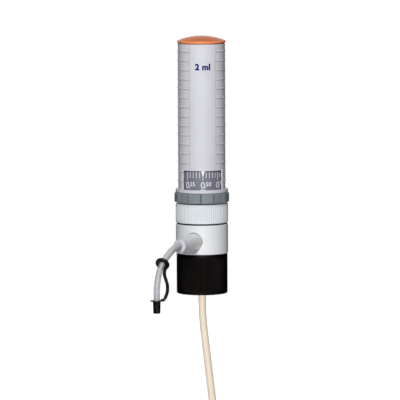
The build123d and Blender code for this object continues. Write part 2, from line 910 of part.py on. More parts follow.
def top_cap():
    """Shallow dome that closes the housing, with a skirt pushed into its bore."""
    rim_top = housing_top + cap_rim
    apex = rim_top + cap_rise
    skirt_radius = housing_bore - fit_gap
    inner_radius = skirt_radius - cap_skirt_wall
    outer_arc = dome_arc(cap_radius - cap_edge, rim_top, apex)
    inner_arc = dome_arc(inner_radius, rim_top - cap_wall / 2, apex - cap_wall)
    outline = outer_arc + Polyline(
        (cap_radius - cap_edge, 0, rim_top),
        (cap_radius, 0, rim_top - cap_edge),
        (cap_radius, 0, housing_top),
        (skirt_radius, 0, housing_top),
        (skirt_radius, 0, housing_top - cap_skirt),
        (inner_radius, 0, housing_top - cap_skirt),
        (inner_radius, 0, rim_top - cap_wall / 2),
    ) + inner_arc + Line((0, 0, apex - cap_wall), (0, 0, apex))
    return revolve(make_face(outline), Axis.Z)


def dome_arc(radius, low, high):
    """Arc of a shallow dome in the XZ plane, from its crown to its edge."""
    rise = high - low
    sphere = (radius**2 + rise**2) / (2 * rise)
    half = radius / 2
    middle = high - sphere + math.sqrt(sphere**2 - half**2)
    return ThreePointArc((0, 0, high), (half, 0, middle), (radius, 0, low))


pieces = {
    "bottle_adapter": bottle_adapter,
    "valve_block": valve_block,
    "adapter_retaining_flange": adapter_retaining_flange,
    "neck_gasket": neck_gasket,
    "inlet_valve_housing": inlet_valve_housing,
    "inlet_valve_seal": inlet_valve_seal,
    "inlet_ball": inlet_ball,
    "intake_tube": intake_tube,
    "barrel_gasket": barrel_gasket_ring,
    "glass_barrel": glass_barrel,
    "guide_column": guide_column,
    "drum_retaining_ring": drum_retaining_ring,
    "drum_friction_washer": drum_friction_washer,
    "nozzle_body": nozzle_body,
    "nozzle_seal": nozzle_seal,
    "outlet_valve_seat": outlet_valve_seat,
    "outlet_ball": outlet_ball,
    "outlet_spring": outlet_spring,
    "tube_collar": tube_collar,
    "delivery_tube": delivery_tube,
    "cap_ring": cap_ring,
    "cap_strap": cap_strap,
    "jet_cap": jet_cap,
    "nut_gasket": nut_gasket,
    "coupling_nut": coupling_nut,
    "volume_ring": volume_ring,
    "scale_drum": scale_drum,
    "housing": housing,
    "guide_sleeve": guide_sleeve,
    "deck_screws": deck_screws,
    "piston": piston,
    "piston_seal": piston_seal,
    "piston_rod": piston_rod,
    "calibration_nut": calibration_nut,
    "top_cap": top_cap,
}

os.makedirs("parts", exist_ok=True)
for name, make in pieces.items():
    shape = make()
    solids = shape if isinstance(shape, list) else shape.solids()
    export_step(Compound(children=list(solids)) if len(solids) > 1 else solids[0], f"parts/{name}.step")
print(f"stroke {stroke:.3f} mm, tube arc {tube_arc_radius} mm, intake bend {intake_bend} mm")
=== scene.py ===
# %% [markdown]
# # A bottle top dispenser, dressed on its CAD frame
# The CAD model holds every piece at its real size, with its joints. This script loads that model as a
# fixed frame and gives each visible piece its real surface: ribs, knurls, scale marks, soft edges and
# the finish of each plastic. All shapes are worked out in millimetres and written in metres.

# %% Load the frame
import math

import bmesh
import bpy
import numpy as np
from mathutils import Matrix, Vector


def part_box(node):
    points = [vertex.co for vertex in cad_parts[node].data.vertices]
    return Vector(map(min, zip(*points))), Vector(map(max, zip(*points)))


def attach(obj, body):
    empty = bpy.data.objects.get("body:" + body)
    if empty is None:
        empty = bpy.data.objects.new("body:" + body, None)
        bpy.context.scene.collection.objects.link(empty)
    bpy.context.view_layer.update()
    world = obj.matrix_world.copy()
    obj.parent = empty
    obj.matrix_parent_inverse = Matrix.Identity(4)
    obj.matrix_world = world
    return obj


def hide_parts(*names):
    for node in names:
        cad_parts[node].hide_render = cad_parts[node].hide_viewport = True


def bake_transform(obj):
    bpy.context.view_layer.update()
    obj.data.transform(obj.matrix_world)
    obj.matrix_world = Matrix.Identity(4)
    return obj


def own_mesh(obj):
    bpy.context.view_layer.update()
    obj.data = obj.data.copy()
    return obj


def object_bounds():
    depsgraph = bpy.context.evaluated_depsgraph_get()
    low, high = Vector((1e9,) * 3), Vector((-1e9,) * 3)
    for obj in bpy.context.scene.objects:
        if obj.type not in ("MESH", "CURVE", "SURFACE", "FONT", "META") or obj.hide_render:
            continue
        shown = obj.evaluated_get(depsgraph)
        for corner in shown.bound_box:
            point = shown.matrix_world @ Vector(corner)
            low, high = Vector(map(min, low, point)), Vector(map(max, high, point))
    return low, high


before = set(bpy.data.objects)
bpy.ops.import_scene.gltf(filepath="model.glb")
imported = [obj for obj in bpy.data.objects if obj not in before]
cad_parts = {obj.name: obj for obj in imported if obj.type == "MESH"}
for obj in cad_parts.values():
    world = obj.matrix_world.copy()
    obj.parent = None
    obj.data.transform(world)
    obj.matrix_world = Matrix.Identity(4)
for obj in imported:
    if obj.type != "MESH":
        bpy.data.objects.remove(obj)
cad_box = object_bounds()
MM = 0.001
print("CAD box", [tuple(round(v / MM, 1) for v in corner) for corner in cad_box])


def levels(node):
    """Lowest and highest height of a CAD node, in millimetres."""
    low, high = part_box(node)
    return low.z / MM, high.z / MM


def half_width(node):
    """Half of a CAD node's width across X, in millimetres: the radius of a round piece."""
    low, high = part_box(node)
    return (high.x - low.x) / 2 / MM


def placed(name, data):
    """New object in the scene for a mesh, a lamp, a camera or a curve."""
    holder = bpy.data.objects.new(name, data)
    bpy.context.scene.collection.objects.link(holder)
    return holder


# %% [markdown]
# ## Camera, light and background
# The object is seen from 5 m away with a long lens, so its upright edges stay parallel. One large lamp
# in front and above gives most of the light, so the middle of each round piece is pale and its sides
# fall off to grey. A second lamp lights the back. Two black cards beside the object, out of the picture,
# darken its outline. The room is white for rays that reach it straight, by reflection or through the
# clear pieces, and dim for all others, so it adds only a little even light.

# %% Camera
AZIMUTH = math.radians(3.0)
DISTANCE, EYE_HEIGHT = 5.07, 0.584
AIM_HEIGHT, AIM_LEFT = 0.09507, 0.0019
LENS, SENSOR, FAR_CLIP = 449.5, 36, 50
ROLL = math.radians(-0.2)

right = Vector((math.cos(AZIMUTH), -math.sin(AZIMUTH), 0))
eye = Vector((-math.sin(AZIMUTH) * DISTANCE, -math.cos(AZIMUTH) * DISTANCE, EYE_HEIGHT))
aim = Vector((0, 0, AIM_HEIGHT)) - right * AIM_LEFT
camera = placed("camera", bpy.data.cameras.new("camera"))
camera.data.lens = LENS
camera.data.sensor_width = SENSOR
camera.data.clip_end = FAR_CLIP
camera.location = eye
straight_on = (aim - eye).to_track_quat("-Z", "Y").to_matrix()
camera.rotation_euler = (straight_on @ Matrix.Rotation(ROLL, 3, "Z")).to_euler()
bpy.context.scene.camera = camera
bpy.context.scene.view_settings.view_transform = "Standard"


# %% Colour and node helpers
def linear(code):
    """sRGB hex code as linear red, green, blue and alpha."""
    value = np.array([int(code[i:i + 2], 16) for i in (1, 3, 5)]) / 255
    value = np.where(value <= 0.04045, value / 12.92, ((value + 0.055) / 1.055) ** 2.4)
    return (*value.tolist(), 1.0)


def add(tree, kind, inputs=None, **settings):
    """Adds a node, sets what settings says, and links or sets each input by its name or number."""
    node = tree.nodes.new("ShaderNode" + kind)
    for key, value in settings.items():
        setattr(node, key, value)
    for key, value in (inputs or {}).items():
        if isinstance(value, bpy.types.NodeSocket):
            tree.links.new(value, node.inputs[key])
        else:
            node.inputs[key].default_value = value
    return node


def combined(tree, operation, first, second):
    """Output of a math node on two values."""
    return add(tree, "Math", {0: first, 1: second}, operation=operation).outputs[0]


def new_material(name):
    """Material without nodes, and its tree."""
    material = bpy.data.materials.new(name)
    material.use_nodes = True
    material.node_tree.nodes.clear()
    return material, material.node_tree


# %% World and lamps
ROOM_LIGHT = 0.23

world = bpy.data.worlds.new("white room")
bpy.context.scene.world = world
world.use_nodes = True
tree = world.node_tree
tree.nodes.clear()
path = add(tree, "LightPath")
straight = combined(tree, "MAXIMUM", path.outputs["Is Camera Ray"], path.outputs["Is Glossy Ray"])
seen = combined(tree, "MAXIMUM", straight, path.outputs["Is Transmission Ray"])
room = add(tree, "Background", {"Color": linear("#ffffff"), "Strength": ROOM_LIGHT})
white = add(tree, "Background", {"Color": linear("#ffffff"), "Strength": 1.0})
mix = add(tree, "MixShader", {0: seen, 1: room.outputs[0], 2: white.outputs[0]})
add(tree, "OutputWorld", {"Surface": mix.outputs[0]})


def softbox(name, place, target, size, watts):
    """Square area lamp that faces a target."""
    lamp = bpy.data.lights.new(name, "AREA")
    lamp.size = size
    lamp.energy = watts
    holder = placed(name, lamp)
    holder.location = place
    holder.rotation_euler = (Vector(target) - Vector(place)).to_track_quat("-Z", "Y").to_euler()
    return holder


LIT_POINT, LAMP_SIZE = (0, 0, 0.1), 0.4
softbox("front lamp", (-0.25, -1.73, 1.0), LIT_POINT, LAMP_SIZE, watts=30)
# A lower lamp behind lights the back as evenly; gloss doesn't see it, so it draws no streak on the cap.
back_lamp = softbox("back lamp", (0.15, 1.8, 0.4), LIT_POINT, LAMP_SIZE, watts=24)
back_lamp.visible_glossy = False

# %% Black cards
def staged(name, corners, material):
    """One flat face that belongs to the stage, not to the object."""
    mesh = bpy.data.meshes.new(name)
    mesh.from_pydata(corners, [], [list(range(len(corners)))])
    mesh.materials.append(material)
    piece = placed(name, mesh)
    return piece


CARD_DISTANCE, CARD_FRONT, CARD_BACK, CARD_LOW, CARD_HIGH = 0.32, -0.7, 1.1, -0.2, 0.5
card_black, tree = new_material("black card")
matt = add(tree, "BsdfDiffuse", {"Color": linear("#060606")})
add(tree, "OutputMaterial", {"Surface": matt.outputs[0]})
for x in (-CARD_DISTANCE, CARD_DISTANCE):
    card = staged("card", [(x, CARD_FRONT, CARD_LOW), (x, CARD_BACK, CARD_LOW), (x, CARD_BACK, CARD_HIGH),
                           (x, CARD_FRONT, CARD_HIGH)], card_black)
    card.visible_camera = False
    card.visible_shadow = False

# %% Floor
FLOOR_RADIUS, FLOOR_GAP, FLOOR_SIDES = 1.6, 0.001, 96
PAPER_SHARE, PAPER_GLOW = 0.9, 1.06
paper, tree = new_material("white paper sweep")
path = add(tree, "LightPath")
straight = combined(tree, "MULTIPLY", path.outputs["Is Camera Ray"], PAPER_SHARE)
matt = add(tree, "BsdfDiffuse", {"Color": linear("#f4f4f4")})
glow = add(tree, "Emission", {"Color": linear("#ffffff"), "Strength": PAPER_GLOW})
mix = add(tree, "MixShader", {0: straight, 1: matt.outputs[0], 2: glow.outputs[0]})
add(tree, "OutputMaterial", {"Surface": mix.outputs[0]})
angle = np.linspace(0, 2 * np.pi, FLOOR_SIDES, endpoint=False)
ring = [np.cos(angle) * FLOOR_RADIUS, np.sin(angle) * FLOOR_RADIUS, 0 * angle + cad_box[0].z - FLOOR_GAP]
staged("floor", np.stack(ring, -1).tolist(), paper)

# %% [markdown]
# ## Surfaces as grids
# Almost every piece is turned or swept, so it is a function of two parameters: how far along an outline
# or a path, and how far round. numpy works out the whole grid of points at once, and the mesh takes it
# with one quad between each four neighbours. Where a row shrinks to a point, as on the crown of a dome,
# the doubled points are merged, so every piece is a closed solid.


# %% Meshes from grids
def mesh_piece(name, points, faces, sharp=40):
    """Object from points in millimetres and faces; doubles are merged and faces turned outwards."""
    mesh = bpy.data.meshes.new(name)
    mesh.from_pydata((points.reshape(-1, 3) * MM).tolist(), [], faces.tolist())
    work = bmesh.new()
    work.from_mesh(mesh)
    bmesh.ops.remove_doubles(work, verts=work.verts, dist=2e-7)
    bmesh.ops.recalc_face_normals(work, faces=work.faces)
    work.to_mesh(mesh)
    work.free()
    mesh.shade_smooth()
    mesh.set_sharp_from_angle(angle=math.radians(sharp))
    return placed(name, mesh)


def grid_faces(rows, columns, close_rows, close_columns):
    """Quads between neighbours of a grid of rows times columns points, closed round where asked."""
    index = np.arange(rows * columns).reshape(rows, columns)
    if close_rows:
        index = np.vstack([index, index[:1]])
    if close_columns:
        index = np.hstack([index, index[:, :1]])
    corners = [index[:-1, :-1], index[:-1, 1:], index[1:, 1:], index[1:, :-1]]
    return np.stack(corners, -1).reshape(-1, 4)


def rounded(corners, closed=True, steps=5, hold=0.12, share=0.45):
    """Outline through (x, y, radius) corners, each turned into an arc that touches both its runs.

    The arc's centre lies on the corner's bisector. A holding point beside each arc keeps the shading of
    the straight runs flat. share is the most of a run that one arc may take.
    """
    corners = np.array(corners, float)
    place, radius = corners[:, :2], np.maximum(corners[:, 2:], 1e-3)
    before, after = np.roll(place, 1, 0) - place, np.roll(place, -1, 0) - place
    run_before = np.linalg.norm(before, axis=1, keepdims=True)
    run_after = np.linalg.norm(after, axis=1, keepdims=True)
    before, after = before / run_before, after / run_after
    half = np.arccos(np.clip((before * after).sum(1, keepdims=True), -1, 1)) / 2
    half = np.minimum(half, np.pi / 2 - 1e-4)
    reach = np.minimum(radius / np.tan(half), share * np.minimum(run_before, run_after))
    bisector = before + after
    bisector = bisector / np.maximum(np.linalg.norm(bisector, axis=1, keepdims=True), 1e-9)
    centre = place + bisector * reach / np.cos(half)
    start, end = place + before * reach - centre, place + after * reach - centre
    turn = np.pi - 2 * half
    along = np.linspace(0, 1, steps + 1)[None, :, None]
    arc = (np.sin((1 - along) * turn[:, None]) * start[:, None] + np.sin(along * turn[:, None]) * end[:, None])
    arc = centre[:, None] + arc / np.sin(turn)[:, None]
    held_before = place + before * np.minimum(reach + hold, np.maximum(reach, 0.49 * run_before))
    held_after = place + after * np.minimum(reach + hold, np.maximum(reach, 0.49 * run_after))
    line = np.concatenate([held_before[:, None], arc, held_after[:, None]], 1)
    if closed:
        return line.reshape(-1, 2)
    return np.vstack([place[:1], line[1:-1].reshape(-1, 2), place[-1:]])


def circle(sides):
    """Even angles once round, as the columns of a grid of points."""
    return np.linspace(0, 2 * np.pi, sides, endpoint=False)[None, :, None]


def turned(name, outline, turn, relief, *finish, sharp=40):
    """Dressed surface of revolution: the closed outline of (radius, height) points goes round Z by turn.

    relief(angle, height, radius) is added to the radius, for ribs, knurls and facets.
    """
    turn = turn[..., 0]
    radius, height = outline[:, :1] + 0 * turn, outline[:, 1:] + 0 * turn
    if relief:
        radius = radius + relief(turn, height, radius)
    points = around(radius, turn, height)
    return dress(mesh_piece(name, points, grid_faces(*radius.shape, True, True), sharp), *finish)


def places_of(items, key="co"):
    """Places of a mesh's vertices, or with the key center of its faces, as one array."""
    places = np.empty(len(items) * 3)
    items.foreach_get(key, places)
    return places.reshape(-1, 3)


def set_recess(piece, recess):
    """Stores recess(x, y, z), in millimetres and from 0 to 1, at every point of a piece."""
    value = recess(*(places_of(piece.data.vertices) / MM).T)
    attribute = piece.data.attributes.new("recess", "FLOAT", "POINT")
    attribute.data.foreach_set("value", value.astype(np.float32))


def smooth_step(value, low, high):
    """0 below low, 1 above high, and an S-shaped cubic between them."""
    share = np.clip((value - low) / (high - low), 0, 1)
    return share * share * (3 - 2 * share)


def between(value, low, high, rise, fall):
    """1 between low and high, 0 outside, with soft slopes inside them of the lengths rise and fall."""
    return smooth_step(value, low, low + rise) * (1 - smooth_step(value, high - fall, high))


def around(radius, turn, height):
    """Points at a radius, an angle and a height."""
    return np.stack([radius * np.cos(turn), radius * np.sin(turn), height], -1)


def spaced(line, spacing):
    """Points at even steps along a polyline in the plane."""
    length = np.concatenate([[0], np.cumsum(np.linalg.norm(np.diff(line, axis=0), axis=1))])
    at = np.linspace(0, length[-1], max(2, int(length[-1] / spacing)))
    return np.stack([np.interp(at, length, line[:, i]) for i in range(line.shape[1])], -1)


def dress(piece, material, body, slot, *nodes):
    """Gives a piece its material and its CAD body, and hides the CAD nodes that it stands for."""
    piece.data.materials.append(material)
    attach(piece, body)
    if nodes:
        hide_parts(*nodes)
    print(f"{piece.name}: {len(piece.data.vertices)} points, {len(piece.data.polygons)} faces")
    return piece


def grid_piece(name, points, *finish, bar=False):
    """Dressed piece from rings of points. The last ring joins the first, except in a bar, which has ends."""
    return dress(mesh_piece(name, points, grid_faces(*points.shape[:2], not bar, True)), *finish)


def with_ends(rings):
    """Rings of a bar with one more at each end, shrunk to its middle, so that the bar is closed."""
    first, last = (rings[end].mean(0) + 0 * rings[:1] for end in (0, -1))
    return np.concatenate([first, rings, last])


def directions(line):
    """Unit direction of a line in the plane at each of its points."""
    step = np.gradient(line, axis=0)
    return step / np.linalg.norm(step, axis=1, keepdims=True)


def bar_section(half_width, low, high, low_round, high_round, **detail):
    """Outline across a flat bar: a rectangle with its lower and its upper corners rounded."""
    return rounded([(-half_width, low, low_round), (half_width, low, low_round),
                    (half_width, high, high_round), (-half_width, high, high_round)], **detail)


def second_finish(piece, material, chosen):
    """Gives the faces of a piece whose centres, in millimetres, are chosen a second material."""
    piece.data.materials.append(material)
    faces = chosen(places_of(piece.data.polygons, "center") / MM)
    piece.data.polygons.foreach_set("material_index", faces.astype(np.int32))


# %% [markdown]
# ## Moulded plastics
# The instrument is mostly injection moulded polypropylene and ABS. Such a surface takes the fine spark
# texture of its mould, so it scatters light softly, and its colour is never quite even: it drifts by a
# few percent over centimetres where the melt cooled at different rates. A fine noise drives a bump for
# the texture, and a coarse one shifts the colour and the roughness a little.


# %% A moulded plastic
FLOW = 18.0  # millimetres over which the colour drifts
ROUGHNESS_SPREAD = 0.04


def moulded(name, colour, shade, roughness, texture=0.35, depth=0.004, ior=1.5, gloss=0.5, painted_shade=0):
    """Plastic with a mould texture: texture and depth are its grain in millimetres, shade its other colour.

    painted_shade is how far the colour is darkened towards near black as painted shade, where the mesh's recess
    attribute is 1.
    """
    material, tree = new_material(name)
    place = add(tree, "TexCoord").outputs["Object"]
    fine = add(tree, "TexNoise", {"Vector": place, "Scale": 1 / (texture * MM), "Detail": 3.0})
    coarse = add(tree, "TexNoise", {"Vector": place, "Scale": 1 / (FLOW * MM), "Detail": 2.0})
    drift = add(tree, "MapRange", {"Value": coarse.outputs["Fac"], "From Min": 0.3, "From Max": 0.7})
    tint = add(tree, "Mix", {0: drift.outputs[0], 6: linear(colour), 7: linear(shade)}, data_type="RGBA")
    # Painted shade: where the recess attribute is high, the colour is mixed towards near black.
    if painted_shade:
        recess = add(tree, "Attribute", attribute_name="recess")
        shade_share = combined(tree, "MULTIPLY", recess.outputs["Fac"], painted_shade)
        tint = add(tree, "Mix", {0: shade_share, 6: tint.outputs[2], 7: linear("#141312")}, data_type="RGBA")
    rough = add(tree, "MapRange", {
        "Value": fine.outputs["Fac"], "From Min": 0.2, "From Max": 0.8,
        "To Min": roughness - ROUGHNESS_SPREAD, "To Max": roughness + ROUGHNESS_SPREAD})
    bump = add(tree, "Bump", {"Height": fine.outputs["Fac"], "Distance": depth * MM, "Strength": 1.0})
    surface = add(tree, "BsdfPrincipled", {
        "Base Color": tint.outputs[2], "Roughness": rough.outputs[0], "Normal": bump.outputs[0], "IOR": ior,
        "Specular IOR Level": gloss})
    add(tree, "OutputMaterial", {"Surface": surface.outputs[0]})
    return material


# Black polypropylene, filled: deep black with a soft sheen on the knurl's crests.
adapter_black = moulded("black polypropylene", "#090504", "#060302", 0.36, texture=0.5, gloss=0.14)
# White polypropylene of the head: satin, very slightly cool.
block_white = moulded("white polypropylene", "#eceef0", "#e8eaec", 0.38, gloss=0.35)
# The nut is the same plastic from another batch, a little bluer.
nut_white = moulded("cool white polypropylene", "#e4ebee", "#e0e7ea", 0.38, gloss=0.35)
# Mid grey ABS of the grip ring, with painted shade in its grooves.
ring_grey = moulded("grey abs", "#868e93", "#80888d", 0.4, painted_shade=0.5)
# Pale lavender grey ABS of the housing, with painted shade in the seam under the cap, under each grip ring and
# along the panel's edges.
housing_grey = moulded("pale grey abs", "#d9d9e0", "#d5d5dc", 0.4, gloss=0.35, painted_shade=0.6)
# The frame round the window and the pointer are moulded in plain white.
trim_white = moulded("white abs trim", "#f3f2f6", "#efeef2", 0.35)
# Glossy orange cap.
cap_orange = moulded("orange abs", "#dc7236", "#d86d31", 0.25, texture=0.6, depth=0.002, gloss=0.06)
# Its rim is glossier, polished by the edge of the mould; its lighter orange is a painted highlight.
rim_orange_highlight = moulded("polished orange abs with painted highlight", "#fa9156", "#f68b50", 0.18, texture=0.6, depth=0.001, gloss=0.5)
# Dark grey drum with a matt face, so that its marks read well.
drum_grey = moulded("slate grey abs", "#7d7d8c", "#787887", 0.55)
# White ink of the scale and navy ink of the front.
scale_ink = moulded("white scale ink", "#f0f0f6", "#ebebf2", 0.5, texture=0.15)
navy_ink = moulded("navy ink", "#17127e", "#151076", 0.45, texture=0.15, gloss=0.2)
# Natural acetal of the inner parts: off white and slightly waxy.
acetal_white = moulded("natural acetal", "#e0e1e0", "#dadbda", 0.4, ior=1.48)
# Nozzle: off white with a grey cast.
nozzle_white = moulded("grey white polypropylene", "#eeeeee", "#e9e9ea", 0.36)
# Soft black moulding of the ring, strap and cap.
strap_black = moulded("black elastomer", "#101014", "#0c0c10", 0.4, texture=0.4, gloss=0.2)
# Fluoro rubber of the seals: dark olive.
seal_olive = moulded("olive fluoro rubber", "#38362a", "#333126", 0.5)
# Fluoropolymer of seats and flanges: pure white and waxy.
ptfe_white = moulded("white fluoropolymer", "#ecece9", "#e6e6e3", 0.45, ior=1.38)

# %% [markdown]
# ## Milky tubes
# The tubes are extruded fluoropolymer. Near the head the jet is cloudy all through, a flat lilac grey.
# Below the ring its wall is thinner and clearer: its edges look blue grey, and a warm pale line along the
# middle shows the bore. So the jet is three pieces: an opaque upper part, a hazy wall and a pale lining.

# %% The tubes' materials
# Cloudy upper part of the jet.
tube_cloudy = moulded("cloudy fluoropolymer", "#d6d2d6", "#d2ced3", 0.4, texture=1.0, ior=1.38, gloss=0.3)
# Wall of the lower part: a blue grey haze that half hides what lies behind it.
tube_haze = moulded("hazy fluoropolymer", "#a3aab8", "#9fa6b4", 0.3,
                    texture=1.5, depth=0.002, ior=1.34, gloss=0.3)
haze = next(n for n in tube_haze.node_tree.nodes if n.type == "BSDF_PRINCIPLED")
haze.inputs["Alpha"].default_value = 0.6
# Lining of its bore: warm and pale.
bore_peach = moulded("peach white fluoropolymer", "#ffeeda", "#ffe9d2", 0.4, ior=1.38)
# The intake tube is cloudy cream all through.
intake_cream = moulded("cream fluoropolymer", "#fdeedb", "#fbead4", 0.4, ior=1.38)
# The collar is moulded from the same polymer as the jet, a little bluer.
collar_milk = moulded("milky collar polymer", "#cfd0da", "#cacbd5", 0.3, texture=1.2, ior=1.38, gloss=0.3)
# Over the nozzle its side lets the paler nozzle show through.
collar_side = moulded("milky collar side", "#e9e9ee", "#e5e5ea", 0.3, texture=1.2, ior=1.38, gloss=0.3)

# %% Glass, ceramic and steel of the inner pieces
barrel_glass = bpy.data.materials.new("borosilicate glass")
barrel_glass.use_nodes = True
surface = barrel_glass.node_tree.nodes["Principled BSDF"]
clear = {"Base Color": linear("#f2f7f7"), "Roughness": 0.03, "IOR": 1.47, "Transmission Weight": 1.0}
for key, value in clear.items():
    surface.inputs[key].default_value = value
# Polished alumina of piston and balls.
ceramic = moulded("polished alumina ceramic", "#f3efe4", "#eee9dd", 0.12, texture=0.8, depth=0.001, ior=1.76)


def steel(name, colour, roughness, grain):
    """Turned stainless steel: fine rings round Z, grain millimetres apart, change its roughness."""
    material = bpy.data.materials.new(name)
    material.use_nodes = True
    tree = material.node_tree
    surface = tree.nodes["Principled BSDF"]
    place = add(tree, "TexCoord").outputs["Object"]
    rings = add(tree, "TexWave", {"Vector": place, "Scale": 0.31 / (grain * MM), "Distortion": 1.5},
                bands_direction="Z")
    rough = add(tree, "MapRange", {
        "Value": rings.outputs["Fac"], "To Min": roughness - 0.05, "To Max": roughness + 0.08})
    tree.links.new(rough.outputs[0], surface.inputs["Roughness"])
    surface.inputs["Base Color"].default_value = linear(colour)
    surface.inputs["Metallic"].default_value = 1.0
    return material


turned_steel = steel("turned stainless steel", "#c9cacc", 0.26, 0.4)

inner_finishes = (
    (ptfe_white, "adapter_retaining_flange", "inlet_valve_housing", "outlet_valve_seat", "piston_seal"),
    (seal_olive, "neck_gasket", "inlet_valve_seal", "barrel_gasket", "nozzle_seal", "nut_gasket"),
    (ceramic, "inlet_ball", "outlet_ball", "piston"),
    (turned_steel, "drum_retaining_ring", "drum_friction_washer", "deck_screws", "piston_rod",
     "calibration_nut"),
    (acetal_white, "guide_column", "guide_sleeve"),
    (barrel_glass, "glass_barrel"),
    (drum_grey, "scale_drum"),
)
for material, *nodes in inner_finishes:
    for node in nodes:
        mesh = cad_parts[node].data
        mesh.materials.clear()
        mesh.materials.append(material)
print("CAD pieces finished:", sum(len(row) - 1 for row in inner_finishes))

# %% [markdown]
# ## Bottle adapter
# A black screw collar. Its wall carries a fine upright knurl between two plain bands, and inside runs the
# bottle's round thread. Both are reliefs on a turned surface: the knurl is a rounded wave of the angle, and
# the thread a ridge whose height climbs one pitch for each turn.

# %% The adapter's surface
adapter_low, adapter_high = levels("bottle_adapter")
ADAPTER_RADIUS = half_width("bottle_adapter")
THREAD_RADIUS, THREAD_TOP, THREAD_PITCH, THREAD_DEPTH, THREAD_WIDTH = 22.5, 24.5, 4.0, 1.0, 0.28
THREAD_START, THREAD_LOW, THREAD_HIGH, THREAD_RUN = 3.0, 2.0, 18.5, 1.5
LIP_RADIUS, LIP_TOP, UPPER_BORE = 17.0, 27.5, 23.0
ADAPTER_RIBS, RIB_STEPS, KNURL_DEPTH, PLAIN_BAND, BAND_SLOPE = 132, 6, 0.34, 2.0, 0.5


def knurl(turn, count, depth):
    """Rounded upright ridges: 0 on the crests, -depth in the narrow valleys."""
    return -depth * (1 - np.sqrt(np.abs(np.cos(turn * count / 2))))


def adapter_relief(turn, height, radius):
    """Knurl outside between the plain bands, nearly four turns of round thread inside."""
    outside = radius > UPPER_BORE + 1.5
    band = between(height, adapter_low + PLAIN_BAND, adapter_high - PLAIN_BAND, BAND_SLOPE, BAND_SLOPE)
    rise = (height - THREAD_START) / THREAD_PITCH - turn / (2 * np.pi)
    crest = np.cos(np.pi * np.clip((rise - np.round(rise)) / THREAD_WIDTH, -0.5, 0.5)) ** 2
    threaded = between(height, THREAD_LOW, THREAD_HIGH, THREAD_RUN, THREAD_RUN) * (radius < THREAD_RADIUS + 0.2)
    return np.where(outside, band * knurl(turn, ADAPTER_RIBS, KNURL_DEPTH), -threaded * crest * THREAD_DEPTH)


def with_rows(outline, radius, low, high, count):
    """Adds rows of points to an outline's upright run at a radius, for reliefs that need them."""
    height = outline[:, 1]
    near = (np.abs(outline[:, 0] - radius) < 0.35) & (height > low - 2) & (height < high + 2)
    upright = np.where(near)[0]
    before = upright[np.argmax(np.diff(height[upright]) ** 2)]
    rows = np.linspace(low, high, count)
    if height[before] > height[before + 1]:
        rows = rows[::-1]
    extra = np.stack([np.full(count, radius), rows], -1)
    return np.vstack([outline[:before + 1], extra, outline[before + 1:]])


outline = rounded([
    (THREAD_RADIUS, adapter_low, 0.7), (ADAPTER_RADIUS, adapter_low, 1.3),
    (ADAPTER_RADIUS, adapter_high, 0.6), (UPPER_BORE, adapter_high, 0.3), (UPPER_BORE, LIP_TOP, 0.3),
    (LIP_RADIUS, LIP_TOP, 0.3), (LIP_RADIUS, THREAD_TOP, 0.3), (THREAD_RADIUS, THREAD_TOP, 0.3)])
KNURL_ROWS, THREAD_ROWS, BAND_MARGIN = 16, 42, 0.4
outline = with_rows(outline, ADAPTER_RADIUS, adapter_low + PLAIN_BAND - BAND_MARGIN,
                    adapter_high - PLAIN_BAND + BAND_MARGIN, KNURL_ROWS)
outline = with_rows(outline, THREAD_RADIUS, THREAD_LOW - 0.5, THREAD_HIGH + 1.5, THREAD_ROWS)
adapter = turned("adapter_shell", outline, circle(ADAPTER_RIBS * RIB_STEPS), adapter_relief,
                 adapter_black, "adapter", "adapter_black", "bottle_adapter")
# In use the intake tube stands in a glass bottle, where light reaches it from all round, so the collar
# throws no shadow on it.
adapter.visible_shadow = False

# %% [markdown]
# ## Valve block
# The white head is a smooth cylinder with softly broken edges. The nozzle leaves it through a round hole
# with a bright countersunk rim. The hole is a relief too: the surface sinks where its distance from the
# nozzle's axis is less than the hole's radius, and the rim is the short slope round it.

# %% The block's surface
NOZZLE_TURN = math.radians(22.4)
forward = np.array([-math.sin(NOZZLE_TURN), -math.cos(NOZZLE_TURN), 0])
sideways = np.array([math.cos(NOZZLE_TURN), -math.sin(NOZZLE_TURN), 0])
up = np.array([0.0, 0.0, 1.0])
NOZZLE_Z = sum(levels("nozzle_seal")) / 2
BLOCK_RADIUS = half_width("valve_block")
BLOCK_GAP, BLOCK_HEIGHT = 0.3, 30.0
BLOCK_LOW, BLOCK_HIGH = adapter_high + BLOCK_GAP, adapter_high + BLOCK_GAP + BLOCK_HEIGHT
stem_low, neck_high = levels("valve_block")
CUP_FLOOR = levels("barrel_gasket")[0]
INLET_RADIUS, INLET_TOP, DUCT_RADIUS, CUP_RADIUS = 6.5, 30.5, 2.0, 20.5
STEM_RADIUS, STEM_TOP, LIP_OUTER, NECK_RADIUS = 16.6, 27.8, 22.7, 23.8
HOLE_RADIUS, RIM_RADIUS, RIM_DEPTH, HOLE_DEPTH = 9.2, 10.1, 0.6, 2.4
HOLE_COLUMNS, HOLE_ROWS = 110, 90


def block_relief(turn, height, radius):
    """Countersunk hole round the nozzle's axis on the outer wall."""
    across = radius * (np.cos(turn) * sideways[0] + np.sin(turn) * sideways[1])
    facing = np.cos(turn) * forward[0] + np.sin(turn) * forward[1] > 0
    distance = np.hypot(across, height - NOZZLE_Z)
    rim = RIM_DEPTH * np.clip((RIM_RADIUS - distance) / (RIM_RADIUS - HOLE_RADIUS), 0, 1)
    pit = (HOLE_DEPTH - RIM_DEPTH) * (1 - smooth_step(distance, HOLE_RADIUS - 0.25, HOLE_RADIUS))
    return -np.where((radius > BLOCK_RADIUS - 0.2) & facing, rim + pit, 0)


def block_turns():
    """Angles round the block, close together where the nozzle's hole is."""
    middle = math.atan2(forward[1], forward[0])
    width = 1.25 * RIM_RADIUS / BLOCK_RADIUS
    fine = np.linspace(middle - width, middle + width, HOLE_COLUMNS)
    rest = np.linspace(middle + width, middle - width + 2 * np.pi, HOLE_COLUMNS)
    return np.concatenate([fine, rest[1:-1]])[None, :, None]


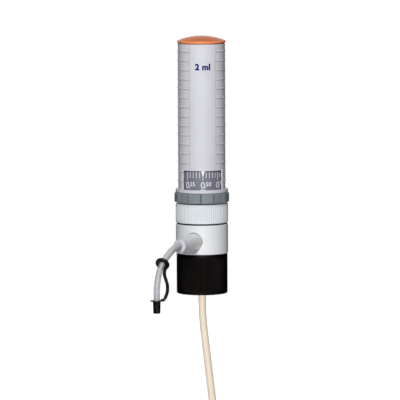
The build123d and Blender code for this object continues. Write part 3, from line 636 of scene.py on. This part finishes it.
outline = rounded([
    (INLET_RADIUS, stem_low, 0.3), (STEM_RADIUS, stem_low, 0.4), (STEM_RADIUS, STEM_TOP, 0.3),
    (LIP_OUTER, STEM_TOP, 0.4), (LIP_OUTER, BLOCK_LOW, 0.2), (BLOCK_RADIUS, BLOCK_LOW, 1.0),
    (BLOCK_RADIUS, BLOCK_HIGH, 1.1), (NECK_RADIUS, BLOCK_HIGH, 0.3), (NECK_RADIUS, neck_high, 0.4),
    (CUP_RADIUS, neck_high, 0.3), (CUP_RADIUS, CUP_FLOOR, 0.3), (DUCT_RADIUS, CUP_FLOOR, 0.3),
    (DUCT_RADIUS, INLET_TOP, 0.3), (INLET_RADIUS, INLET_TOP, 0.3)])
outline = with_rows(outline, BLOCK_RADIUS, BLOCK_LOW + 1.3, BLOCK_HIGH - 1.3, HOLE_ROWS)
turned("valve_head", outline, block_turns(), block_relief,
       block_white, "valve_body", "block_white", "valve_block", sharp=50)

# %% [markdown]
# ## Nozzle, collar and jet
# The nozzle is a cone that points to the front left, with a milky collar at its end. Both are turned
# outlines laid along the nozzle's axis. The jet is a tube swept along a flat route of runs and arcs: each
# ring of points stands square to the route, and its radius shrinks a little before the black ring.

# %% Nozzle and collar
NOZZLE_START, COLLAR_START, NOZZLE_END = 12.0, 57.0, 69.0
NOZZLE_RADIUS, COLLAR_RADIUS, TIP_RADIUS = 8.7, 7.27, 6.7
SEAT_RADIUS, SEAT_END, SPRING_BORE, SPRING_END, NOZZLE_DUCT = 5.7, 16.2, 3.2, 31.0, 2.4
SOCKET_RADIUS, SOCKET_START, SPIGOT_RADIUS, SPIGOT_END = 3.5, 61.0, 5.0, 65.8
SIDE_END = NOZZLE_END - 1.7


def laid_along(name, outline, sides, start, axis, across, *finish):
    """Dressed turned surface about another axis: outline is (radius, distance along the axis from start).

    Its circles are spanned by sideways and across.
    """
    turn = circle(sides)
    radius, distance = outline[:, :1, None], outline[:, 1:, None]
    points = radius * (np.cos(turn) * sideways + np.sin(turn) * across) + distance * axis + start
    return grid_piece(name, points, *finish)


outline = rounded([
    (SEAT_RADIUS, NOZZLE_START, 0.3), (NOZZLE_RADIUS, NOZZLE_START, 0.4), (NOZZLE_RADIUS, BLOCK_RADIUS, 2.0),
    (COLLAR_RADIUS, COLLAR_START - 0.25, 0.5), (SPIGOT_RADIUS, COLLAR_START - 0.25, 0.2),
    (SPIGOT_RADIUS, SPIGOT_END, 0.3), (SOCKET_RADIUS, SPIGOT_END, 0.2), (SOCKET_RADIUS, SOCKET_START, 0.2),
    (NOZZLE_DUCT, SOCKET_START, 0.2), (NOZZLE_DUCT, SPRING_END, 0.3), (SPRING_BORE, SPRING_END, 0.3),
    (SPRING_BORE, SEAT_END, 0.2), (SEAT_RADIUS, SEAT_END, 0.2)])
laid_along("nozzle_cone", outline, 96, NOZZLE_Z * up, forward, up,
           nozzle_white, "valve_body", "nozzle_white", "nozzle_body")

collar_bore, tube_bore, collar_floor = SPIGOT_RADIUS + 0.05, SOCKET_RADIUS - 0.08, SPIGOT_END + 0.2
outline = rounded([
    (collar_bore, COLLAR_START, 0.2), (COLLAR_RADIUS + 0.02, COLLAR_START, 0.35), (TIP_RADIUS, NOZZLE_END, 1.4),
    (tube_bore, NOZZLE_END, 0.2), (tube_bore, collar_floor, 0.1), (collar_bore, collar_floor, 0.2)])
collar = laid_along("nozzle_collar", outline, 96, NOZZLE_Z * up, forward, up,
                    collar_milk, "valve_body", "collar_milky", "tube_collar")
second_finish(collar, collar_side, lambda centres: centres @ forward < SIDE_END)

# %% [markdown]
# ## Outlet spring
# A small compression spring of steel wire holds the outlet ball on its seat. Its wire is a circle carried along
# a helix about the nozzle's axis. In the valve it shortens as the ball opens; here its coils are evenly spaced
# between the ends of the CAD spring.

# %% The coil
SPRING_TURNS, WIRE_RADIUS, BALL_TRAVEL = 6, 0.25, 1.2
cad_spring = places_of(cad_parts["outlet_spring"].data.vertices) / MM
distance = cad_spring @ forward
beside = np.hypot(cad_spring @ sideways, cad_spring[:, 2] - NOZZLE_Z)
spring_near, spring_far = distance.min() + WIRE_RADIUS, distance.max() - WIRE_RADIUS
COIL_RADIUS = beside.max() - WIRE_RADIUS
winding = np.linspace(0, 2 * np.pi * SPRING_TURNS, 48 * SPRING_TURNS)[:, None]
out = spring_near + (spring_far - spring_near) * winding / winding[-1]
radial = np.cos(winding) * sideways + np.sin(winding) * up
middle_line = COIL_RADIUS * radial + out * forward + NOZZLE_Z * up
turn = circle(12)
wire = middle_line[:, None] + WIRE_RADIUS * (np.cos(turn) * radial[:, None] + np.sin(turn) * forward)
spring = grid_piece("outlet_coil", with_ends(wire), turned_steel, "valve_body", "steel", "outlet_spring",
                    bar=True)
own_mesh(spring)

# %% The jet's route and wall
FIRST_BEND, TUBE_SPAN, TUBE_DROP, TUBE_SLOPE = 17.9, 67.2, 58.6, math.radians(20)
TUBE_FALL = math.tan(TUBE_SLOPE) * (TUBE_SPAN - FIRST_BEND)
BEND_RADIUS, ARC_RADIUS = 80.0, 38.0
RING_SLOPE = math.radians(33)
arc_middle = np.array([NOZZLE_END + TUBE_SPAN - ARC_RADIUS,
                       -TUBE_FALL - ARC_RADIUS * math.tan((math.pi / 2 - TUBE_SLOPE) / 2)])
ring_place = arc_middle + ARC_RADIUS * np.array([math.sin(RING_SLOPE), math.cos(RING_SLOPE)])
ROOT_RADIUS, JET_RADIUS, BORE = 3.4, 3.1, 1.0
THIN_FROM, THIN_TO = -22, 2  # points of the route, from the ring, over which the wall gets thinner


def in_nozzle_plane(line, offset=0.0):
    """(distance out, height above the nozzle) to points in space, offset sideways."""
    return line[..., :1] * forward + (line[..., 1:2] + NOZZLE_Z) * up + offset * sideways


def normals(line):
    """Upward direction in the nozzle's plane, square to a line in it, for each of its points."""
    tangent = directions(line)
    return (-tangent[:, 1:] * forward + tangent[:, :1] * up)[:, None]


def swept(route, radius, sides=40):
    """Rings round a route in the nozzle's plane: each is square to the route, with the radius at that point."""
    turn, centre = circle(sides), in_nozzle_plane(route)[:, None]
    return centre + radius[:, None, None] * (np.cos(turn) * sideways + np.sin(turn) * normals(route))


def tube(name, outer, inner, part, *finish):
    """Dressed length of tube along the jet's route, between an outer and an inner radius."""
    rings = np.concatenate([swept(route, outer)[part], swept(route, inner)[part][::-1]])
    return grid_piece(name, rings, *finish)


corners = [(SOCKET_START, 0, 0), (NOZZLE_END + FIRST_BEND, 0, BEND_RADIUS),
           (NOZZLE_END + TUBE_SPAN, -TUBE_FALL, ARC_RADIUS), (NOZZLE_END + TUBE_SPAN, -TUBE_DROP, 0)]
route = spaced(rounded(corners, closed=False, steps=40, share=0.6), 0.9)
nearest = int(np.argmin(np.linalg.norm(route - ring_place, axis=1)))
count = np.arange(len(route))
thinned = smooth_step(count, nearest + THIN_FROM, nearest + THIN_TO)
wall_radius = ROOT_RADIUS - (ROOT_RADIUS - JET_RADIUS) * thinned
bore_radius = np.full(len(route), BORE)
upper, lower = slice(0, nearest + 1), slice(nearest, None)
tube("jet_tube", wall_radius, bore_radius, upper, tube_cloudy, "valve_body", "tube_milky", "delivery_tube")
tip = tube("jet_tip", wall_radius, bore_radius, lower, tube_haze, "valve_body", "tube_milky")
tip.visible_shadow = False
tube("jet_bore", bore_radius + 0.3, bore_radius - 0.02, lower, bore_peach, "valve_body", "tube_milky")

# %% [markdown]
# ## Ring, strap and cap of the jet
# One soft black moulding closes the jet between uses: a ring round the tube, a flat strap, and a thimble with a
# thin flange. In use the strap bends as the cap is pulled off; here it is a piece of its own on one fixed
# route, attached to no body.

# %% Ring on the tube
RING_RADIUS, RING_THICKNESS = 7.2, 2.5
along = forward * math.cos(RING_SLOPE) - up * math.sin(RING_SLOPE)
outward = forward * math.sin(RING_SLOPE) + up * math.cos(RING_SLOPE)
ring_bore = wall_radius[nearest] + 0.02
outline = rounded([
    (ring_bore, -RING_THICKNESS / 2, 0.3), (RING_RADIUS, -RING_THICKNESS / 2, 1.0),
    (RING_RADIUS, RING_THICKNESS / 2, 1.0), (ring_bore, RING_THICKNESS / 2, 0.3)], steps=6)
laid_along("jet_cap_ring", outline, 72, in_nozzle_plane(ring_place), along, outward,
           strap_black, "valve_body", "strap_black", "cap_ring")

# %% Cap on the tip
cap_low, cap_high = levels("jet_cap")
FLANGE_RADIUS, FLANGE_THICKNESS, THIMBLE_RADIUS, THIMBLE_FOOT, THIMBLE_BORE = 6.65, 1.0, 3.9, 3.6, 3.2
STRAP_OFFSET, STRAP_WIDTH, STRAP_THICKNESS = 4.9, 3.4, 1.3
TAB_REACH, TAB_LENGTH = 6.0, 3.8
cap_high -= STRAP_THICKNESS
tip_z = NOZZLE_Z - TUBE_DROP
outline = rounded([
    (0.0, cap_low, 0), (THIMBLE_FOOT, cap_low, 0.5), (THIMBLE_RADIUS, cap_high - FLANGE_THICKNESS, 0.5),
    (FLANGE_RADIUS, cap_high - FLANGE_THICKNESS + 0.15, 0.4), (FLANGE_RADIUS, cap_high, 0.35),
    (THIMBLE_BORE, cap_high, 0.35), (THIMBLE_BORE, tip_z - 0.1, 0.1), (0.0, tip_z - 0.1, 0)], closed=False)
run = NOZZLE_END + TUBE_SPAN
laid_along("jet_thimble", outline, 64, run * forward, up, forward,
           strap_black, "jet_cap", "strap_black", "jet_cap")
tab_line = (run - TAB_REACH + np.array([0, 0.3, TAB_LENGTH]))[:, None, None]
section = bar_section(STRAP_WIDTH / 2, cap_high - FLANGE_THICKNESS + 0.1, cap_high + STRAP_THICKNESS - 0.02,
                      0.3, 0.45, steps=4, hold=0.05)[None]
points = tab_line * forward + (section[..., :1] + STRAP_OFFSET) * sideways + section[..., 1:] * up
grid_piece("jet_cap_tab", with_ends(points), strap_black, "jet_cap", "strap_black", bar=True)

# %% Strap
STRAP_LEAD, STRAP_BELOW, STRAP_BULGE = 11.5, 0.9, 18.2
slope_line = np.array([math.cos(RING_SLOPE), -math.sin(RING_SLOPE)])
below_line = np.array([-math.sin(RING_SLOPE), -math.cos(RING_SLOPE)])
strap_start = ring_place + RING_THICKNESS / 2 * slope_line + STRAP_BELOW * below_line
level = cap_high + STRAP_THICKNESS / 2 - NOZZLE_Z
corners = [
    (*(strap_start - 0.4 * slope_line), 0), (*(strap_start + STRAP_LEAD * slope_line), 4.2),
    (run - STRAP_BULGE, level + 13.0, 12.0), (run - STRAP_BULGE, level + 6.3, 9.0),
    (run - TAB_REACH - 4.2, level, 6.0), (run - TAB_REACH + 0.2, level, 0)]
strap_line = spaced(rounded(corners, closed=False, steps=10), 0.5)
half_t = STRAP_THICKNESS / 2
section = bar_section(STRAP_WIDTH / 2, -half_t, half_t, 0.45, 0.45, steps=4, hold=0.05)[None]
middle = in_nozzle_plane(strap_line, STRAP_OFFSET)[:, None]
points = with_ends(middle + section[..., :1] * sideways + section[..., 1:] * normals(strap_line))
strap = mesh_piece("jet_cap_strap", points, grid_faces(*points.shape[:2], False, True))
strap.data.materials.append(strap_black)
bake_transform(strap)
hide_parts("cap_strap")
print("strap length, mm:", round(float(np.linalg.norm(np.diff(strap_line, axis=0), axis=1).sum()), 1))

# %% [markdown]
# ## Intake tube
# A stiff cream dip tube that leans to one side in the bottle: the same kind of sweep, in the XZ plane.

# %% The intake tube
intake_top = levels("intake_tube")[1]
INTAKE_RADIUS, INTAKE_BORE = 3.75, 2.5
STRAIGHT_RUN, INTAKE_BEND, INTAKE_END = 35.0, 300.0, (20.0, -196.0)
corners = [(0, intake_top, 0), (0, intake_top - STRAIGHT_RUN, INTAKE_BEND), (*INTAKE_END, 0)]
intake_line = spaced(rounded(corners, closed=False, steps=24, share=0.6), 3.0)
tangent = directions(intake_line)
turn = circle(40)[..., 0]


def intake_rings(radius):
    """Rings square to the line in the XZ plane."""
    x = intake_line[:, :1] + radius * np.cos(turn) * tangent[:, 1:]
    z = intake_line[:, 1:] - radius * np.cos(turn) * tangent[:, :1]
    return np.stack([x, radius * np.sin(turn) + 0 * x, z], -1)


points = np.concatenate([intake_rings(INTAKE_RADIUS), intake_rings(INTAKE_BORE)[::-1]])
grid_piece("dip_tube", points, intake_cream, "valve_body", "tube_milky", "intake_tube")

# %% [markdown]
# ## Coupling nut
# A white nut with a coarser, deeper knurl than the adapter's, between two plain bands.

# %% The nut's surface
nut_low, nut_high = levels("coupling_nut")
NUT_RADIUS = half_width("coupling_nut")
NUT_RIBS, NUT_RIB_STEPS, NUT_KNURL, NUT_BAND = 75, 8, 0.5, 1.3
NUT_BORE, NUT_MOUTH, NUT_SHOULDER = 24.0, 18.8, 88.5


def nut_relief(turn, height, radius):
    """Knurl outside, between the bands."""
    band = between(height, nut_low + NUT_BAND, nut_high - NUT_BAND - 0.1, 0.3, 0.4)
    return np.where(radius > NUT_RADIUS - 0.3, band * knurl(turn, NUT_RIBS, NUT_KNURL), 0)


outline = rounded([
    (NUT_BORE, nut_low, 0.3), (NUT_RADIUS, nut_low, 0.5), (NUT_RADIUS, nut_high, 1.3),
    (NUT_MOUTH, nut_high, 0.4), (NUT_MOUTH, NUT_SHOULDER, 0.2), (NUT_BORE, NUT_SHOULDER, 0.3)])
outline = with_rows(outline, NUT_RADIUS, nut_low + NUT_BAND - 0.2, nut_high - NUT_BAND + 0.2, 20)
turned("knurled_nut", outline, circle(NUT_RIBS * NUT_RIB_STEPS), nut_relief,
       nut_white, "coupling_nut", "nut_white", "coupling_nut")

# %% [markdown]
# ## Volume ring
# A grey grip ring in thirteen pads with narrow grooves between them. Seen from above, each pad is a little
# hollow, so its two upright edges catch the light. The relief repeats once for each pad.

# %% The ring's surface
ring_low, ring_high = levels("volume_ring")
VOLUME_RADIUS = half_width("volume_ring")
VOLUME_BORE, VOLUME_CHAMFER = 21.6, 0.9
PADS, PAD_STEPS, PAD_HOLLOW, GROOVE_HALF, GROOVE_DEPTH = 13, 80, 0.3, 0.6, 1.2
FIRST_GROOVE = math.radians(-90 - 5.3)


def ring_relief(turn, height, radius):
    """Hollow pads and the grooves between them, on the outer wall only."""
    pad = 2 * np.pi / PADS
    place = np.abs((turn - FIRST_GROOVE + pad / 2) % pad - pad / 2) * VOLUME_RADIUS
    groove = GROOVE_DEPTH * (1 - smooth_step(place, GROOVE_HALF * 0.6, GROOVE_HALF + 0.2))
    hollow = PAD_HOLLOW * smooth_step(place, GROOVE_HALF + 0.7, GROOVE_HALF + 1.5)
    return np.where(radius > VOLUME_RADIUS - 1.3, -groove - hollow, 0)


def ring_painted_shade(x, y, z):
    """Painted shade in the grooves, away from the ring's two rims."""
    depth = VOLUME_RADIUS - np.hypot(x, y)
    return smooth_step(depth, 0.5, 1.2) * (depth < 1.9) * (np.abs(z - (ring_low + ring_high) / 2) < 4.3)


outline = rounded([
    (VOLUME_BORE, ring_low, 0.3), (VOLUME_RADIUS - VOLUME_CHAMFER, ring_low, 0.4),
    (VOLUME_RADIUS, ring_low + VOLUME_CHAMFER, 0.5), (VOLUME_RADIUS, ring_high - VOLUME_CHAMFER, 0.5),
    (VOLUME_RADIUS - VOLUME_CHAMFER, ring_high, 0.4), (VOLUME_BORE, ring_high, 0.3)])
ring_grip = turned("volume_grip", outline, circle(PADS * PAD_STEPS), ring_relief,
                   ring_grey, "volume_ring", "ring_grey", "volume_ring")
# The grooves' darkening is painted shade.
set_recess(ring_grip, ring_painted_shade)

# %% [markdown]
# ## Scale drum
# The grey drum turns behind the window. It carries a mark for each 0.05 ml, nine degrees apart, a longer
# one for each 0.25 ml, and plain figures under the long ones: a large whole number, a comma, and small
# raised decimals. The marks are thin bars and the figures thin plates, all bent round the drum.

# %% Marks and figures
DRUM_RADIUS = half_width("scale_drum")
FRONT = math.radians(-90)


def wrapped(points, radius, middle, height):
    """Bends flat points (x, y, z) round Z: x goes round from the angle middle, y up from height, z outwards."""
    turn = middle + points[..., 0] / radius
    return around(radius + points[..., 2], turn, height + points[..., 1])


def bars(places, widths, lows, highs, radius, proud):
    """Upright bars on a cylinder, one for each place: a box of eight corners, repeated by broadcasting."""
    corner = np.array([(x, y, z) for x in (-0.5, 0.5) for y in (0, 1) for z in (-0.05, proud)])
    x = corner[None, :, 0] * widths[:, None]
    y = lows[:, None] + corner[None, :, 1] * (highs - lows)[:, None]
    z = corner[None, :, 2] + 0 * x
    points = wrapped(np.stack([x, y, z], -1), radius, places[:, None], 0.0)
    quads = np.array([(0, 1, 3, 2), (4, 6, 7, 5), (0, 4, 5, 1), (2, 3, 7, 6), (0, 2, 6, 4), (1, 5, 7, 3)])
    faces = (quads[None] + 8 * np.arange(len(places))[:, None, None]).reshape(-1, 4)
    return points.reshape(-1, 3), faces


FIRST_CUT, CUT_STEP = 0.4, 0.7


def lettering(text, size, thickness=0.12, bold=0.012, spacing=1.0):
    """Flat plate in the shape of plain figures: (points, faces) in millimetres.

    Cuts at even steps let the plate follow a curved wall.
    """
    curve = bpy.data.curves.new("figures", "FONT")
    curve.body = text
    curve.size = size
    curve.extrude = thickness / 2
    curve.resolution_u = 3
    curve.offset = bold * size
    curve.space_character = spacing
    holder = placed("figures", curve)
    bpy.context.view_layer.update()
    mesh = bpy.data.meshes.new_from_object(holder.evaluated_get(bpy.context.evaluated_depsgraph_get()))
    work = bmesh.new()
    work.from_mesh(mesh)
    for x in np.arange(FIRST_CUT, holder.dimensions.x + size, CUT_STEP):
        geometry = work.verts[:] + work.edges[:] + work.faces[:]
        bmesh.ops.bisect_plane(work, geom=geometry, plane_co=(x, 0, 0), plane_no=(1, 0, 0))
    work.to_mesh(mesh)
    work.free()
    points = places_of(mesh.vertices)
    faces = [list(polygon.vertices) for polygon in mesh.polygons]
    bpy.data.objects.remove(holder)
    bpy.data.meshes.remove(mesh)
    return points, faces


def centre(points):
    """Moves flat points so that they lie evenly about x = 0."""
    points[:, 0] -= (points[:, 0].min() + points[:, 0].max()) / 2


def joined(parts):
    """Several (points, faces) in one: each part's faces count on from the points before it."""
    points, faces, count = [], [], 0
    for part_points, part_faces in parts:
        points.append(part_points)
        faces += [[corner + count for corner in face] for face in part_faces]
        count += len(part_points)
    return np.vstack(points), faces


def plate_piece(name, parts, material, body, slot):
    """Piece of thin plates that lies on a surface."""
    points, faces = joined(parts)
    mesh = bpy.data.meshes.new(name)
    mesh.from_pydata((points * MM).tolist(), [], faces)
    return dress(placed(name, mesh), material, body, slot)


MARK_TOP, SHORT_MARK, LONG_MARK = 125.6, 119.4, 117.0
FIGURE_BASE, WHOLE_SIZE, DECIMAL_SIZE = 108.8, 9.4, 6.1
DEGREES_PER_ML, SET_VOLUME, FIRST_VOLUME, DIVISION, MARKS = 180.0, 0.5, 0.25, 0.05, 36
LONG_WIDTH, SHORT_WIDTH, MARK_PROUD = 0.7, 0.6, 0.06
COMMA_GAP, COMMA_RISE, DECIMAL_GAP = 0.2, 0.8, 0.9
volumes = FIRST_VOLUME + DIVISION * np.arange(MARKS)
places = np.radians(-90 + DEGREES_PER_ML * (volumes - SET_VOLUME))
long_mark = np.isclose(volumes * 4, np.round(volumes * 4), atol=0.01)
mark_points, mark_faces = bars(
    places, np.where(long_mark, LONG_WIDTH, SHORT_WIDTH), np.where(long_mark, LONG_MARK, SHORT_MARK),
    np.full(MARKS, MARK_TOP), DRUM_RADIUS, MARK_PROUD)
parts = [(mark_points, mark_faces.tolist())]
for volume, place in zip(volumes[long_mark], places[long_mark]):
    whole, decimals = f"{volume:.2f}".split(".")
    digit, digit_faces = lettering(whole, WHOLE_SIZE, bold=0.006)
    centre(digit)
    edge = digit[:, 0].max()
    comma, comma_faces = lettering(",", DECIMAL_SIZE)
    comma += [edge + COMMA_GAP - comma[:, 0].min(), COMMA_RISE, 0]
    small, small_faces = lettering(decimals, DECIMAL_SIZE)
    small[:, 0] += edge + DECIMAL_GAP - small[:, 0].min()
    small[:, 1] += digit[:, 1].max() - small[:, 1].max()
    for flat, faces in ((digit, digit_faces), (comma, comma_faces), (small, small_faces)):
        parts.append((wrapped(flat, DRUM_RADIUS, place, FIGURE_BASE), faces))
plate_piece("scale_marks", parts, scale_ink, "volume_ring", "drum_grey")

# %% [markdown]
# ## Housing
# The pale shell that the hand lifts. Thin rings stand out of it all round, except on the smooth front panel,
# and a wide window at its foot shows the drum. The shell is two grids of points, one for the outer and one
# for the inner face, on the same lines. The window's cells are left out of both, and short walls join the
# two faces along every open edge.

# %% The shell with its window
housing_low, housing_high = levels("housing")
SHELL_RADIUS, SHELL_BORE, FOOT_RADIUS, FOOT = 24.0, 22.3, half_width("housing"), 3.4
WINDOW_HEIGHT, WINDOW_REACH, PANEL_HALF = 19.5, 19.4, 33.0
WINDOW_LOW, WINDOW_HIGH = housing_low + FOOT, housing_low + FOOT + WINDOW_HEIGHT
WINDOW_HALF = math.degrees(math.asin(WINDOW_REACH / SHELL_RADIUS))
GRIP_RINGS, GRIP_PITCH, GRIP_TOP, GRIP_THICKNESS, GRIP_HEIGHT = 15, 9.45, 8.0, 1.3, 0.5
PANEL_HEIGHT, PANEL_GROOVE, SEAM, SEAM_DEPTH = 0.2, 0.3, 0.7, 0.9
ring_heights = housing_high - GRIP_TOP - GRIP_PITCH * np.arange(GRIP_RINGS)


def sorted_unique(*groups):
    """All values in order, without near doubles."""
    values = np.sort(np.concatenate([np.atleast_1d(group) for group in groups]))
    return values[np.concatenate([[True], np.diff(values) > 1e-4])]


near_ring = np.array([-1.15, -0.9, -0.75, -0.62, -0.5, -0.3, 0.3, 0.5, 0.62, 0.75]) * GRIP_THICKNESS
ring_rows = (ring_heights[:, None] + near_ring[None, :]).ravel()
foot_rows = np.concatenate([housing_low + np.array([0.0, 0.12, 0.4, 1.2]),
                            WINDOW_LOW + np.array([-0.45, -0.15, -0.02, 0.0, 0.4])])
seam_rows = housing_high - np.array([0.0, SEAM - 0.02, SEAM, SEAM + 0.1, SEAM + 0.3, SEAM + 0.6])
free = (ring_rows > WINDOW_LOW + 0.5) & (np.abs(ring_rows - WINDOW_HIGH) > 0.12)
heights = sorted_unique(ring_rows[free], foot_rows, WINDOW_HIGH, seam_rows)
edges = np.append(PANEL_HALF + np.array([-0.5, 0.0, 0.5, 1.0, 1.5, 2.0]), WINDOW_HALF)
edges = np.concatenate([edges, 360 - edges])
degrees = sorted_unique(np.arange(0, 360, 2.5), edges)
away = np.min(np.abs(degrees[:, None] - edges[None]), 1)
degrees = degrees[(away < 1e-6) | (away > 0.3)]
turn = np.radians(degrees - 90)[None, :]
off_front = np.abs((degrees + 180) % 360 - 180)[None, :]
height = heights[:, None]


def ring_profile(height):
    """1 on the flat top of each grip ring, 0 between them, with short slopes."""
    away = np.min(np.abs(height[..., None] - ring_heights), -1)
    return 1 - smooth_step(away, 0.3 * GRIP_THICKNESS, 0.62 * GRIP_THICKNESS)


behind_panel = smooth_step(off_front, PANEL_HALF, PANEL_HALF + 0.5)
outer = SHELL_RADIUS + PANEL_HEIGHT * (1 - behind_panel) + GRIP_HEIGHT * ring_profile(height) * behind_panel
outer = outer - PANEL_GROOVE * np.clip(1 - np.abs(off_front - PANEL_HALF - 1.0) / 0.9, 0, 1)
foot = 1 - smooth_step(height, WINDOW_LOW - 0.16, WINDOW_LOW + 0.02)
outer = outer + (FOOT_RADIUS - outer) * foot
corner = 0.4 * (1 - np.clip((height - housing_low) / 0.4, 0, 1)) ** 2
corner = corner + 0.45 * np.clip((height - WINDOW_LOW + 0.45) / 0.45, 0, 1) ** 2 * (height < WINDOW_LOW - 0.01)
outer = outer - corner * (height < WINDOW_LOW - 0.01)
outer = outer - SEAM_DEPTH * (height > housing_high - SEAM + 0.01)
inner = SHELL_BORE + 0 * outer
shift = math.degrees(math.asin(WINDOW_REACH / SHELL_BORE)) - WINDOW_HALF
inner_off = off_front + shift * np.where(off_front < WINDOW_HALF, off_front / WINDOW_HALF,
                                         1 - smooth_step(off_front, WINDOW_HALF, WINDOW_HALF + 40))
inner_turn = np.radians(np.where(degrees[None, :] > 180, 360 - inner_off, inner_off) - 90)
level = height + 0 * outer
shell_points = np.stack([around(outer, turn, level), around(inner, inner_turn, level)])
rows, columns = outer.shape
total = rows * columns
cell_height = ((heights[:-1] + heights[1:]) / 2)[:, None]
cell_turn = (degrees + np.append(degrees[1:], 360)) / 2
cell_off = np.abs((cell_turn + 180) % 360 - 180)[None, :]
kept = ~((cell_off < WINDOW_HALF) & (cell_height > WINDOW_LOW) & (cell_height < WINDOW_HIGH))
cells = grid_faces(rows, columns, False, True)[kept.ravel()]


def walls(edge, row_step, column_step):
    """Quads between the outer and the inner face, along the edges of cells where edge is true."""
    index = np.arange(total).reshape(rows, columns)
    row, column = np.nonzero(edge)
    near, far = index[row, column], index[row + row_step, (column + column_step) % columns]
    return np.stack([near, far, far + total, near + total], -1)


padded = np.pad(kept, ((1, 1), (0, 0)))
faces = np.vstack([cells, cells[:, ::-1] + total, walls(padded[:-1] != padded[1:], 0, 1),
                   walls(kept != np.roll(kept, 1, axis=1), 1, 0)])
shell = mesh_piece("housing_shell", shell_points, faces, sharp=32)
dress(shell, housing_grey, "housing", "housing_grey", "housing")


def shell_painted_shade(x, y, z):
    """Painted shade in the seam under the cap, under each grip ring and along the panel's two edges."""
    radius, off = np.hypot(x, y), np.degrees(np.abs(np.arctan2(x, -y)))
    seam = smooth_step(z, housing_high - SEAM - 0.05, housing_high - SEAM + 0.05)
    below = np.min(np.abs(z[:, None] - (ring_heights - 0.75 * GRIP_THICKNESS)[None, :]), -1)
    ring = (1 - smooth_step(below, 0.2, 0.5)) * (off > PANEL_HALF + 0.4)
    groove = 1 - smooth_step(np.abs(off - PANEL_HALF - 1.0), 0.3, 1.0)
    value = np.maximum(np.maximum(seam, 0.5 * ring), 0.9 * groove * (z > WINDOW_HIGH))
    return value * (radius > SHELL_BORE + 0.5)


# The darkening of seam, ring undersides and panel edges is painted shade.
set_recess(shell, shell_painted_shade)

# %% [markdown]
# ## Window trim and pointer
# A raised white bar runs up each side of the window. A white tongue hangs from the middle of the top as
# the pointer, and a small step rises from the foot below it. Each bar is a strip swept along a route on
# the cylinder; the two marks are small plates with the cylinder's curve.


# %% The frame
def strip(route, section, radius):
    """Closed strip on a cylinder: section is (across, outwards), carried square along the unrolled route."""
    tangent = directions(route)
    across = np.stack([-tangent[:, 1], tangent[:, 0]], -1)
    flat = route[:, None] + section[None, :, :1] * across[:, None]
    out = section[None, :, 1:] + 0 * flat[..., :1]
    return wrapped(with_ends(np.concatenate([flat, out], -1)), radius, FRONT, 0.0)


FRAME_WIDTH, FRAME_PROUD, FRAME_SUNK, FRAME_GAP = 1.0, 0.45, 0.4, 0.25
section = bar_section(FRAME_WIDTH / 2, -FRAME_SUNK, FRAME_PROUD, 0.05, 0.2, steps=3, hold=0.03)
for name, side in (("window_frame_left", -1), ("window_frame_right", 1)):
    place = side * (math.radians(WINDOW_HALF) * SHELL_RADIUS + FRAME_WIDTH / 2 + FRAME_GAP)
    frame_route = spaced(np.array([(place, WINDOW_LOW), (place, WINDOW_HIGH + 0.8)]), 0.8)
    points = strip(frame_route, section, SHELL_RADIUS)
    grid_piece(name, points, trim_white, "housing", "housing_grey", bar=True)


# %% Pointer and foot mark
def tongue(widths, ends, radii):
    """Plate on the housing's front: its width changes evenly from the first end to the second, both heights."""
    level = np.linspace(0, 1, 14)[:, None]
    loop = bar_section(0.5, 0, 1, 0.04, 0.12, steps=3, hold=0.02)[None]
    x = loop[..., 0] * (widths[0] + (widths[1] - widths[0]) * level)
    y = ends[0] + (ends[1] - ends[0]) * level + 0 * x
    z = radii[0] + (radii[1] - radii[0]) * loop[..., 1] + 0 * x
    return wrapped(with_ends(np.stack([x, y, z - SHELL_RADIUS], -1)), SHELL_RADIUS, FRONT, 0.0)


POINTER_TIP = 120.6
for name, material, widths, ends, radii in (
        ("pointer", trim_white, (4.4, 0.4), (WINDOW_HIGH + 0.3, POINTER_TIP), (22.9, 23.9)),
        ("foot_mark", housing_grey, (4.4, 6.2), (WINDOW_LOW + 0.9, WINDOW_LOW - 0.2), (22.4, 24.6))):
    grid_piece(name, tongue(widths, ends, radii), material, "housing", "housing_grey", bar=True)

# %% [markdown]
# ## Front print
# The panel carries one plain mark, the capacity in millilitres, in navy ink.

# %% Print on the panel
PANEL_RADIUS, PRINT_BASE, PRINT_SIZE = SHELL_RADIUS + PANEL_HEIGHT, 229.6, 8.5
figure, figure_faces = lettering("2 ml", PRINT_SIZE, thickness=0.2, bold=0.05, spacing=1.05)
centre(figure)
parts = [(wrapped(figure, PANEL_RADIUS, FRONT, PRINT_BASE), figure_faces)]
plate_piece("capacity_print", parts, navy_ink, "housing", "housing_grey")

# %% [markdown]
# ## Top cap
# A shallow orange dome, slightly wider than the shell, with a glossy rim painted lighter as a highlight. The
# dome is part of a large sphere.

# %% The dome
cap_z_low, cap_z_high = levels("top_cap")
CAP_RADIUS, CAP_RIM = half_width("top_cap"), housing_high + 2.3
PLUG_RADIUS, PLUG_BORE, CAP_WALL, RIM_IN = 22.2, 20.7, 2.0, 0.9
rise = cap_z_high - CAP_RIM
sphere = ((CAP_RADIUS - 0.5) ** 2 + rise ** 2) / (2 * rise)
out = np.linspace(0, CAP_RADIUS - RIM_IN, 28)
dome = np.stack([out, cap_z_high - sphere + np.sqrt(sphere ** 2 - out ** 2)], -1)
rim = rounded([
    (CAP_RADIUS - RIM_IN, dome[-1, 1], 0), (CAP_RADIUS, CAP_RIM - 0.2, 0.4), (CAP_RADIUS, housing_high, 0.7),
    (PLUG_RADIUS, housing_high, 0.2), (PLUG_RADIUS, cap_z_low, 0.2), (PLUG_BORE, cap_z_low, 0.2),
    (PLUG_BORE, CAP_RIM - 1.0, 0.5), (0, cap_z_high - CAP_WALL, 0)], closed=False)
cap = turned("cap_dome", np.vstack([dome[:-1], rim]), circle(144), None,
             cap_orange, "housing", "cap_orange", "top_cap")
# The rim's faces take the lighter orange, a painted highlight.
second_finish(cap, rim_orange_highlight, lambda centres: (centres[:, 2] < CAP_RIM + 0.1)
              & (np.hypot(centres[:, 0], centres[:, 1]) > CAP_RADIUS - 1.5))
